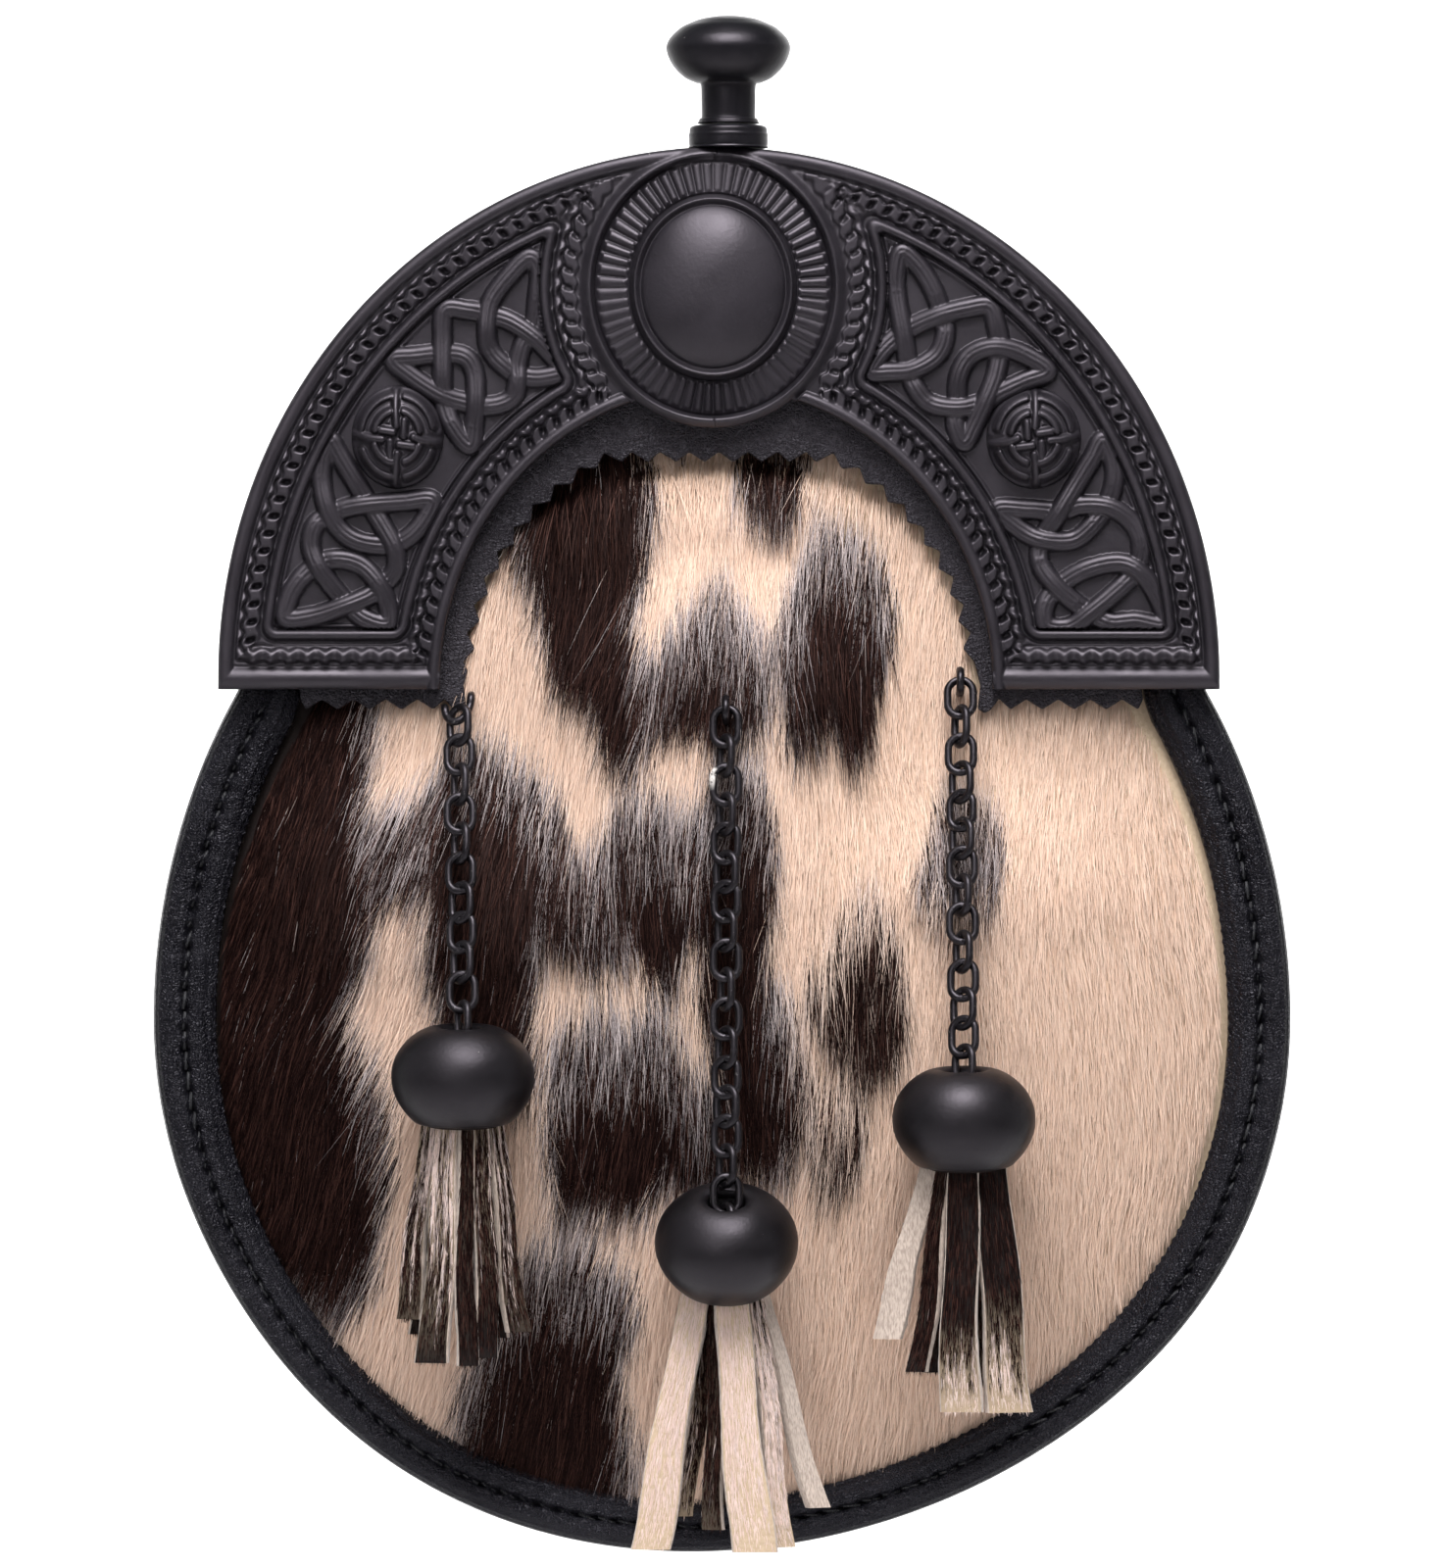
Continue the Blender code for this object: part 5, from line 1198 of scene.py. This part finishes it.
def make_gusset():
    """The side wall, folded in along its middle and open above the mouth."""
    outline = body_outline(*OUTLINE_STEPS)
    outline = outline + headings(outline, True)[1] * GUSSET_INSET
    split = outline[:, 1].argmax()
    path = np.roll(outline, -split, 0)
    path = path[(np.abs(path[:, 0]) > MOUTH_HALF_WIDTH) | (path[:, 1] < FOOT_Z)]
    front, back = FLANGE_BACK_Y + GAP, BACK_FRONT_Y - GAP
    section = []
    for inset, shares in ((0.0, np.linspace(0, 1, 11)), (GUSSET_WALL, np.linspace(1, 0, 11))):
        for share in shares:
            fold = GUSSET_FOLD * math.sin(math.pi * share) ** 1.3
            section.append((inset + fold, back + (front - back) * share))
    obj = skinned("gusset_wall", sweep(path, section), BACK_LEATHER)
    obj.data.set_sharp_from_angle(angle=math.radians(50))
    place(obj, "black_leather", "gusset")


def slab(name, outline, back, front, look, bevel):
    """A flat piece cut to an outline of x and z, its edges rounded over."""
    faces = np.stack([at_depth(outline, back), at_depth(outline, front)])
    obj = skinned(name, faces, look, shade_smooth=False)
    rounding = obj.modifiers.new("round", "BEVEL")
    rounding.width = bevel * MM
    rounding.segments = 3
    rounding.limit_method = "ANGLE"
    rounding.angle_limit = math.radians(50)
    rounding.harden_normals = False
    settle(obj)
    obj.data.shade_smooth()
    obj.data.set_sharp_from_angle(angle=math.radians(40))
    return obj


def make_back():
    """The plain back, lower at the mouth, and its seam."""
    outline = body_outline(*OUTLINE_STEPS)
    outline = outline + headings(outline, True)[1] * BACK_INSET
    lip = MOUTH_BACK_Z - MOUTH_DIP * np.maximum(0.0, 1 - (outline[:, 0] / MOUTH_HALF_WIDTH) ** 2)
    outline[:, 1] = np.minimum(outline[:, 1], lip)
    obj = slab("back_leather", outline, BACK_Y, BACK_FRONT_Y, BACK_LEATHER, 0.5)
    place(obj, "black_leather", "back_panel")
    low = outline[outline[:, 1] < 8]
    split = np.argmax(np.linalg.norm(np.diff(low, axis=0), axis=1)) + 1
    path = np.roll(low, -split, 0)
    seam = path + headings(path, False)[1] * BACK_SEAM
    sew("back_stitches", seam, BACK_Y, 1.0, Rise=BACK_STITCH_RISE * MM)


def make_belt_loop(name, node, x):
    """A strip sewn down at both ends that stands off the back for the strap."""
    seat, bridge = BACK_Y + GAP, STRAP_GAP / 2
    stations = np.linspace(-LOOP_HALF_LENGTH, LOOP_HALF_LENGTH, 90)
    lift = smooth((LOOP_SEAT + 0.6 - np.abs(stations)) / (LOOP_SEAT - LOOP_BRIDGE + 1.2))
    inner = seat + (bridge - seat) * lift
    half, corner = LOOP_WIDTH / 2, 0.45
    section = (
        (-half + corner, 0), (half - corner, 0), (half, corner), (half, LOOP_LEATHER - corner),
        (half - corner, LOOP_LEATHER), (-half + corner, LOOP_LEATHER),
        (-half, LOOP_LEATHER - corner), (-half, corner),
    )
    edges = [np.stack([np.full(len(stations), x + a), inner + b, stations], -1) for a, b in section]
    obj = skinned(name, np.stack(edges, 1), BACK_LEATHER)
    obj.data.set_sharp_from_angle(angle=math.radians(50))
    place(obj, "black_leather", node)
    for end, place_name in ((-1, "foot"), (1, "top")):
        z = end * (LOOP_HALF_LENGTH - 1.8)
        path = np.array([(x - half + 2, z), (x + half - 2, z)])
        face = seat + LOOP_LEATHER
        sew(f"{name}_stitches_{place_name}", path, face, 1.0, Rise=BACK_STITCH_RISE * MM)


def facing_outline():
    """Over the top, down to the teeth of the left foot, the pinked arch, and the right foot."""
    outer_half, outer_height = CANTLE_HALF_WIDTH - FACING_INSET, CANTLE_HEIGHT - FACING_INSET
    over = []
    for k in range(61):
        angle = math.pi * k / 60
        over.append((CANTLE_X + outer_half * math.cos(angle), CANTLE_Z + outer_height * math.sin(angle)))
    foot = []
    for k in reversed(range(FOOT_TEETH)):
        tip = FOOT_TOOTH_X + FOOT_TOOTH_PITCH * k
        foot += [(min(tip + FOOT_TOOTH_PITCH / 2, outer_half), FOOT_VALLEY_Z), (tip, FOOT_TIP_Z)]
    foot += FACING_LOBE
    teeth = round(math.pi * FACING_HALF_WIDTH / PINK_PITCH)
    edge = []
    for k in range(1, 2 * teeth):
        angle = math.pi * (1 - k / (2 * teeth))
        tooth = PINK_DEPTH / 2 * (1 if k % 2 else -1)
        z = CANTLE_Z + (FACING_HEIGHT + tooth) * math.sin(angle)
        edge.append(((FACING_HALF_WIDTH + tooth) * math.cos(angle) + CANTLE_X, min(z, FACING_TOP_Z + tooth)))
    return np.array(over + [(-x, z) for x, z in foot] + edge + foot[::-1])


def make_facing():
    """The pinked leather under the cantle."""
    obj = slab("facing", facing_outline(), FACING_BACK_Y, FACING_Y, FACING_LEATHER, 0.3)
    place(obj, "black_leather", "pinked_facing")


# ------------------------------------------------------------------ hide and its coat

def darkness(x, z):
    """How dark the coat is at a point, 0 cream to 1 dark, its patches ragged at the rims."""
    ragged_x = x + 2.2 * drift(x, z * 0.5, 6.0, 11) + 0.9 * drift(x, z * 0.4, 2.2, 12)
    ragged_z = z + 2.4 * drift(x, z, 5.0, 13)
    light = np.ones_like(x)
    for centre_x, centre_z, half_width, half_height, lean, strength in PATCHES:
        turn = math.radians(lean)
        u = (ragged_x - centre_x) * math.cos(turn) + (ragged_z - centre_z) * math.sin(turn)
        v = (ragged_z - centre_z) * math.cos(turn) - (ragged_x - centre_x) * math.sin(turn)
        reach = np.hypot(u / half_width, v / half_height)
        light = light * (1 - strength * (1 - smooth((reach - 0.78) / 0.42)))
    return 1 - light


def hide_rings():
    """The hide's cut edge, and the ring inside the border where its dome starts."""
    outline = body_outline(*HIDE_STEPS)
    inward = headings(outline, True)[1]
    seat = outline + inward * (border_width(outline[:, 1]) + 0.2)[:, None]
    rim = outline + inward * np.where(outline[:, 1] < BORDER_TOP_Z + 16, 1.4, 0.4)[:, None]
    return rim, seat


def make_hide():
    """The domed hide itself, under its hair."""
    rim, seat = hide_rings()
    middle = np.array((0.0, BODY_CENTRE_Z + 12))
    front = [at_depth(rim, FLANGE_Y), at_depth(seat, FLANGE_Y)]
    for share in np.linspace(0.995, 0.01, HIDE_RINGS):
        ring = middle + (seat - middle) * share
        front.append(at_depth(ring, coat_y(ring[:, 0], ring[:, 1])))
    front = np.stack(front)
    rows = np.concatenate([front[::-1] + np.array((0, LEATHER, 0)), front])
    obj = skinned("hide_skin", rows, SKIN)
    store(obj, "tone", darkness(rows[..., 0].ravel(), rows[..., 2].ravel() + 3))
    place(obj, "hide", "front_panel")


def lie_angle(x, z):
    """How far the coat's lie turns from straight down, towards the wearer's right side, in radians."""
    left = smooth((-10 - x) / 50)
    lean = 3 + 12 * left + 5 * smooth((-90 - z) / 40) * smooth((20 - x) / 60)
    lean = lean + 8 * drift(x, z, 16.0, 21) + 4 * drift(x, z, 5.0, 22)
    return np.radians(lean)


def border_room(x, z):
    """How far inside the border's inner edge a point lies; under the arch it's out of the border's reach."""
    sway_x = x + sway(z)
    reach = np.where(z < BODY_CENTRE_Z, BODY_BELOW, BODY_ABOVE)
    round_body = np.hypot(sway_x / BODY_HALF_WIDTH, (z - BODY_CENTRE_Z) / reach)
    in_border = (1 - round_body) * (BODY_HALF_WIDTH - 4) - border_width(z)
    return np.where((z > FOOT_Z - 3) & (np.abs(x) < ARCH_HALF_WIDTH), 90.0, in_border)


def coat_room(x, z):
    """How far inside the coat's bounds a point lies: within the border, below and inside the facing."""
    in_border = border_room(x, z) - 0.9
    in_arch = ellipse_inside(x, z, CANTLE_X, CANTLE_Z, FACING_HALF_WIDTH, FACING_HEIGHT, True)
    in_arch = np.minimum(in_arch, FACING_TOP_Z - z)
    tucked = 0.2 + 2.6 * smooth((z + 14) / 16)
    return np.minimum(in_border, np.maximum(in_arch + tucked, FOOT_VALLEY_Z - z + 2.6))


def grow(name, count, seed, box, hair, stray=0.0):
    """Hairs rooted over part of the hide: box is its x and z ranges, hair its length, width and slant."""
    length, girth, slant = hair
    chance = np.random.default_rng(seed)
    x = chance.uniform(box[0], box[1], count)
    z = chance.uniform(box[2], box[3], count)
    kept = coat_room(x, z) > 0
    x, z = x[kept], z[kept]
    y = coat_y(x, z)
    slope_x = coat_y(x + 0.5, z) - coat_y(x - 0.5, z)
    slope_z = coat_y(x, z + 0.5) - coat_y(x, z - 0.5)
    normal = np.stack([slope_x, np.full(len(x), -1.0), slope_z], -1)
    normal /= np.linalg.norm(normal, axis=1)[:, None]
    dark, above, below = darkness(x, z - 5.5), darkness(x, z + 4.0), darkness(x, z - 10.5)
    pick = chance.uniform(-0.4, 0.4, len(x))
    frosted = np.where(z > -62, 1.0, smooth((16 - x) / 8))
    rim = np.clip(dark - above, 0, 1)
    silver = chance.uniform(0, 1, len(x)) < rim * (0.30 + stray) * frosted + 0.004
    tone = np.where(silver, 0.0, smooth((dark + pick - 0.42) / 0.16))
    near_dark = smooth((below - 0.25) / 0.6)
    grey = np.maximum(near_dark, smooth(dark / 0.5)) * chance.uniform(0.7, 1.2, len(x))
    grey = grey * (0.3 + 0.7 * frosted)
    long_coat = 0.55 + 0.45 * smooth(np.maximum(near_dark, dark) + smooth((25 - x) / 30) * 0.7)
    reach = length * long_coat * chance.uniform(0.5, 1.45, len(x))
    reach = np.minimum(reach, 2.6 + 1.1 * border_room(x, z))
    angle = lie_angle(x, z) + np.radians(chance.normal(0, 6 + 16 * stray, len(x)))
    lie = np.stack([-np.sin(angle), 0 * x, -np.cos(angle)], -1)
    lie -= normal * (lie * normal).sum(1)[:, None]
    lie /= np.linalg.norm(lie, axis=1)[:, None]
    side = np.cross(lie, normal)
    tilt = np.radians(chance.uniform(0.1, 1.5, len(x)) * slant)
    lie_up = lie * np.cos(tilt)[:, None] + normal * np.sin(tilt)[:, None]
    up = normal * np.cos(tilt)[:, None] - lie * np.sin(tilt)[:, None]
    roll = chance.normal(0, math.radians(22 + 30 * stray), len(x))
    up = up * np.cos(roll)[:, None] + side * np.sin(roll)[:, None]
    facts = {
        "up": up, "lie": lie_up, "reach": reach * MM,
        "girth": girth * chance.uniform(0.7, 1.2, len(x)) * (1 - 0.45 * grey.clip(0, 1) * (1 - tone)) * MM,
        "tone": tone, "grey": np.clip(grey, 0, 1), "chance": chance.uniform(0, 1, len(x)),
    }
    root = np.stack([x, y, z], -1)
    thinned = (tone < 0.5) & (below > 0.5) & (dark < 0.5) & (chance.uniform(0, 1, len(x)) < 0.5)
    root, facts = root[~thinned], {fact: values[~thinned] for fact, values in facts.items()}
    obj = repeated(name, HAIRS, HAIR, root, facts, Segments=3 if stray else 2, Bend=0.1)
    place(obj, "hide")


def make_coat():
    """The coat in strips, one mesh each, and the long stray hairs over it."""
    for k, (low, high) in enumerate(zip(COAT_EDGES, COAT_EDGES[1:])):
        grow(f"hide_coat_{k + 1}", COAT_HAIRS[k], 31 + k, (low, high, -166, 6), COAT_HAIR)
    grow("hide_long_hairs", LONG_HAIRS, 41, (-80, 60, -160, 0), LONG_HAIR, stray=0.25)


# ------------------------------------------------------------------ chains, beads and tassels

def bead_tilt(tassel):
    return Matrix.Rotation(math.radians(tassel["lean"]), 3, "X")


def bead_centre(tassel):
    """The middle of the bead, which lies on the hide."""
    x, z = tassel["bead"]
    front = min(float(hide_y(x, z + drop)) for drop in (0, 3, 6))
    return Vector((x, front - BEAD_RADIUS - 1.0, z))


def taut(points):
    """The points that a thread pulled tight over them would touch, on their -Y side."""
    touched = []
    for point in points:
        while len(touched) > 1:
            first, last = touched[-2], touched[-1]
            turn = (last.z - first.z) * (point.y - first.y) - (last.y - first.y) * (point.z - first.z)
            if turn < 0:
                break
            touched.pop()
        touched.append(point)
    return touched


def chain_joints(tassel):
    """Where each link bears on the next, from the staple over the hide's bulge to the bead."""
    x, stand_off, z = tassel["head"]
    head = Vector((x, float(hide_y(*tassel["crown"])) - stand_off, z))
    tail = bead_centre(tassel) + bead_tilt(tassel) @ Vector((0, -CHAIN_FORWARD * tassel["lean"], CHAIN_END))
    over = [head]
    for k in range(1, 30):
        point = head.lerp(tail, k / 30)
        over.append(Vector((point.x, max(tail.y, float(hide_y(point.x, point.z)) - LINK_FROM_HIDE), point.z)))
    route = taut(over + [tail])
    spans = [(end - start).length for start, end in zip(route, route[1:])]
    count = round(sum(spans) / LINK_PITCH)
    joints = []
    for k in range(count + 1):
        left, leg = sum(spans) * k / count, 0
        while leg < len(spans) - 1 and left > spans[leg]:
            left -= spans[leg]
            leg += 1
        joints.append(route[leg].lerp(route[leg + 1], left / spans[leg]))
    return joints


def make_chain(side, tassel):
    """The links from the staple to the bead, each turned a little on its own."""
    joints = chain_joints(tassel)
    joints.append(joints[-1] * 2 - joints[-2])  # the last link is the eye of the plug in the bead
    points, along, flat = [], [], []
    for k, (start, end) in enumerate(zip(joints, joints[1:])):
        way = (end - start).normalized()
        face = (Vector((1, 0, 0)) - way * way.x).normalized()
        edge = way.cross(face)
        turn = 14 if (k % 2 == 0) == tassel["face_on"] else 54
        turn = math.radians(turn + 12 * math.sin(k * 2.3 + len(side)))
        points.append((start + end) / 2)
        along.append(way)
        flat.append(face * math.cos(turn) + edge * math.sin(turn))
    obj = repeated(f"chain_{side}_links", LINKS, CHAIN_METAL, points, {"along": along, "flat": flat})
    if side == "middle":
        spots = np.empty(len(obj.data.vertices) * 3, np.float32)
        obj.data.vertices.foreach_get("co", spots)
        spots = spots.reshape(-1, 3) / MM
        store(obj, "bare", (spots[:, 0] < BARE_X) & (np.abs(spots[:, 2] - BARE_Z) < BARE_LENGTH / 2))
    place(obj, "chain_metal", f"chain_{side}")


def wire(name, path):
    """A round wire of the chain's metal along a smooth line through the path."""
    line = flowing(path, 60)
    way = np.gradient(line, axis=0)
    way /= np.linalg.norm(way, axis=1)[:, None]
    normal = np.array((0.3, 0.2, 1.0))
    rings = []
    angle = 2 * np.pi * np.arange(WIRE_SIDES) / WIRE_SIDES
    for point, heading in zip(line, way):
        normal = normal - heading * normal.dot(heading)
        normal /= np.linalg.norm(normal)
        across = np.cross(heading, normal)
        rings.append(point + (np.outer(np.cos(angle), normal) + np.outer(np.sin(angle), across)) * WIRE / 2)
    return skinned(name, np.stack(rings), CHAIN_METAL)


def make_staple(side, tassel):
    """The wire loop through the hide that the chain hangs in."""
    surface = float(hide_y(*tassel["crown"]))
    first, second = (Vector((x, surface - STAPLE_SHOULDER, z)) for x, z in tassel["feet"])
    crown_x, crown_z = tassel["crown"]
    middle = (first + second) / 2
    swell = Vector((crown_x, surface - STAPLE_REACH, crown_z)) - middle
    root = Vector((0, STAPLE_SHOULDER + LEATHER + 1.4, 0))
    path = [first + root]
    for k in range(7):
        angle = math.pi * k / 6
        path.append(middle + (first - middle) * math.cos(angle) + swell * math.sin(angle))
    path.append(second + root)
    place(wire(f"staple_{side}", path), "chain_metal", f"chain_staple_{side}")


def make_bead(side, tassel):
    """The hollow bead, its profile closed round from outside to inside."""
    profile = np.vstack([flowing(BEAD_OUTSIDE, 70), flowing(BEAD_INSIDE, 24)])
    rows = turned(profile, bead_centre(tassel), BEAD_SIDES, tassel["lean"])
    obj = piece(f"bead_{side}_turned", rows, quads(len(rows), BEAD_SIDES, True, True), BEAD_METAL)
    place(obj, "black_metal", f"bead_{side}")


def strap_frame(tassel, strap):
    """The strap's middle line, its direction across and its direction out, from the bead to the foot."""
    top_x, top_y, foot_x, foot_z, width, turn = strap[:6]
    middle = np.array(bead_centre(tassel))
    top = middle + np.array(bead_tilt(tassel) @ Vector((top_x * 0.85, top_y * 0.85, STRAP_TOP)))
    foot = np.array((tassel["bead"][0] + foot_x, 0, foot_z))
    foot[1] = min(top[1], float(hide_y(foot[0], foot[2] + 8)) - 2.6) + 0.25 * top_y
    t = np.linspace(0, 1, 26)
    spine = top + (foot - top) * t[:, None]
    spine[:, 1] = top[1] + (foot[1] - top[1]) * t ** 1.6 - 1.2 * np.sin(np.pi * t) * (1 if top_y < 0 else 0.2)
    spine[:, 0] += 0.5 * np.sin(2.4 * np.pi * t + top_x) * t
    angle = np.radians(turn * (1 - 0.3 * t) + 6 * np.sin(3 * t + top_y))
    across = np.stack([np.cos(angle), np.sin(angle), 0 * t], -1)
    out = np.stack([np.sin(angle), -np.cos(angle), 0 * t], -1)
    half = width / 2 * (0.72 + 0.28 * t) * (1 + 0.04 * np.sin(9 * t + top_x))
    return t, spine, across, out, half


def make_tassel(side, tassel):
    """The straps cut from hide, the plug that holds them, and their hair."""
    strips, furred = [], []
    for index, strap in enumerate(tassel["straps"]):
        t, spine, across, out, half = strap_frame(tassel, strap)
        dark_top, dark_foot, flesh_out = strap[6:]
        rows = []
        for u, v in STRAP_SECTION:
            ragged = 0.09 * drift(t * 60, np.full(len(t), u * 3 + index), 1.2, 7) * (abs(u) == 1)
            rows.append(spine + across * (half * u + ragged)[:, None] + out * (STRAP_THICK / 2 * v))
        tone = dark_top + (dark_foot - dark_top) * t
        column = np.arange(len(STRAP_SECTION))
        strips.append((np.stack(rows, 1), tone, (column < 1) | (column > 4) | flesh_out))
        if not flesh_out:
            furred.append((index, t, spine, across, out, half, tone))
    plug = turned(PLUG, bead_centre(tassel), PLUG_SIDES, tassel["lean"])
    # painted shadow: the plug takes the darkest tone of the skin, so where it shows under the bead's rim it
    # reads as shade
    strips.append((plug, np.ones(len(plug)), np.zeros(PLUG_SIDES, bool)))
    join_strips(side, strips)
    grow_on_straps(side, furred)


def join_strips(side, strips):
    """The straps and the plug of a tassel as one mesh: skin on the hair side, suede on the pale columns."""
    points, faces, caps, tones, suede = [], [], [], [], []
    base = 0
    for rows, tone, pale in strips:
        count, sides = rows.shape[:2]
        points.append(rows.reshape(-1, 3))
        faces.append(quads(count, sides, wrap_columns=True) + base)
        suede.append(np.tile(pale, count - 1))
        caps += two_ends(count, sides, base)
        tones.append(np.repeat(tone, sides))
        base += count * sides
    obj = piece(f"tassel_{side}_straps", np.vstack(points), np.vstack(faces), [SKIN, SUEDE], caps)
    kinds = np.concatenate([*suede, np.ones(len(caps), bool)]).astype(np.int32)
    obj.data.polygons.foreach_set("material_index", kinds)
    obj.data.set_sharp_from_angle(angle=math.radians(60))
    store(obj, "tone", np.concatenate(tones))
    place(obj, "tassel_hide", f"tassel_{side}")


def grow_on_straps(side, furred):
    """Short hair on the straps that show their hair side."""
    chance, count = np.random.default_rng(len(side) + 50), STRAP_HAIRS
    gathered = {key: [] for key in ("root", "up", "lie", "reach", "girth", "tone", "grey", "chance")}
    for index, t, spine, across, out, half, tone in furred:
        s, u = chance.uniform(0.0, 0.985, count), chance.uniform(-0.84, 0.84, count)
        spot = lambda values: np.stack([np.interp(s, t, values[:, k]) for k in range(3)], -1)
        middle, wide, front = spot(spine), spot(across), spot(out)
        width = np.interp(s, t, half)
        root = middle + wide * (width * u)[:, None] + front * (STRAP_THICK / 2) * 0.9
        down = spot(np.gradient(spine, axis=0))
        down /= np.linalg.norm(down, axis=1)[:, None]
        sideways = chance.normal(0, 0.07, count) + 0.05 * u
        tilt = chance.uniform(0.01, 0.09, count)
        lie = down + wide * sideways[:, None] + front * tilt[:, None]
        lie /= np.linalg.norm(lie, axis=1)[:, None]
        up = front - lie * (front * lie).sum(1)[:, None] + wide * chance.normal(0, 0.3, count)[:, None]
        streak = 0.3 * drift(u * 9, s * 2.2, 1.5, 8 + index) + 0.14 * drift(u * 20, s * 5, 1.5, 9)
        dark = np.interp(s, t, tone) + streak + chance.uniform(-0.12, 0.12, count)
        gathered["root"].append(root)
        gathered["up"].append(up)
        gathered["lie"].append(lie)
        gathered["reach"].append(chance.uniform(1.6, 3.6, count) * (1 - 0.7 * s ** 8) * MM)
        gathered["girth"].append(np.full(count, STRAP_HAIR_WIDTH * MM))
        gathered["tone"].append(smooth((dark - 0.4) / 0.2))
        gathered["grey"].append(np.clip(chance.uniform(-0.2, 0.7, count) * smooth(dark / 0.4), 0, 1))
        gathered["chance"].append(chance.uniform(0, 1, count))
    facts = {key: np.concatenate(values) for key, values in gathered.items()}
    root = facts.pop("root")
    obj = repeated(f"tassel_{side}_hair", HAIRS, STRAP_HAIR, root, facts, Segments=2, Bend=0.06)
    place(obj, "tassel_hide")


# ------------------------------------------------------------------ studio

def make_floor():
    """A pale round floor whose edge sweeps up into a wall."""
    line = flowing(FLOOR_PROFILE, 60) / MM
    line[:, 1] += (CAD_BOX[0].z - FLOOR_BELOW) / MM
    rows = turned(line, (0, 0, 0), FLOOR_SIDES)
    made, t, shader = material("pale floor", 0.9, specular=0.1)
    slow = t.add("ShaderNodeTexNoise", {"Vector": t.place(), "Scale": 1.5, "Detail": 2.0}).outputs["Fac"]
    t.wire_up(shader, Base_Color=t.mix(slow, rgb(0.90, 0.90, 0.90), rgb(0.93, 0.93, 0.93)))
    floor_faces = quads(len(line), FLOOR_SIDES, wrap_columns=True)
    piece("studio_floor", rows, floor_faces, made, closed=False)


def make_lights():
    """Soft lamps over and in front of the pouch, and one that whitens the wall behind it."""
    world = bpy.data.worlds.new("soft room")
    bpy.context.scene.world = world
    world.use_nodes = True
    background = world.node_tree.nodes["Background"].inputs
    background["Color"].default_value = (1.0, 1.0, 1.0, 1.0)
    background["Strength"].default_value = ROOM_LIGHT
    bpy.context.scene.view_settings.view_transform = "Standard"
    for name, spot, aim, size, power, spread in LAMPS:
        light = bpy.data.lights.new(name, "AREA")
        light.size = size
        light.energy = power
        light.spread = math.radians(spread)
        lamp = bpy.data.objects.new(name, light)
        lamp.location = spot
        lamp.rotation_euler = (Vector(aim) - Vector(spot)).to_track_quat("-Z", "Y").to_euler()
        bpy.context.scene.collection.objects.link(lamp)


def make_camera():
    """Square in front of the pouch."""
    camera = bpy.data.cameras.new("camera")
    camera.lens = camera.sensor_width * CAMERA_AWAY / VIEW_HEIGHT
    obj = bpy.data.objects.new("camera", camera)
    obj.location = (0.0, PLATE_Y * MM - CAMERA_AWAY, CAMERA_Z)
    obj.rotation_euler = (math.pi / 2, 0, 0)
    bpy.context.scene.collection.objects.link(obj)
    bpy.context.scene.camera = obj


make_cantle_half("cantle_left_half", -1)
make_cantle_half("cantle_right_half", 1)
make_medallion()
for side, boss in BOSSES.items():
    make_boss(f"cantle_boss_{side}", *boss, side == "right")
make_finial("knob_collar", "finial_collar", COLLAR_PROFILE)
make_finial("knob_turned", "finial_knob", KNOB_PROFILE)
make_border()
make_facing()
make_gusset()
make_back()
make_belt_loop("strap_loop_left", "belt_loop_left", -LOOP_X)
make_belt_loop("strap_loop_right", "belt_loop_right", LOOP_X)
make_hide()
make_coat()
for side, tassel in TASSELS.items():
    make_staple(side, tassel)
    make_chain(side, tassel)
    make_bead(side, tassel)
    make_tassel(side, tassel)
make_floor()
make_lights()
make_camera()
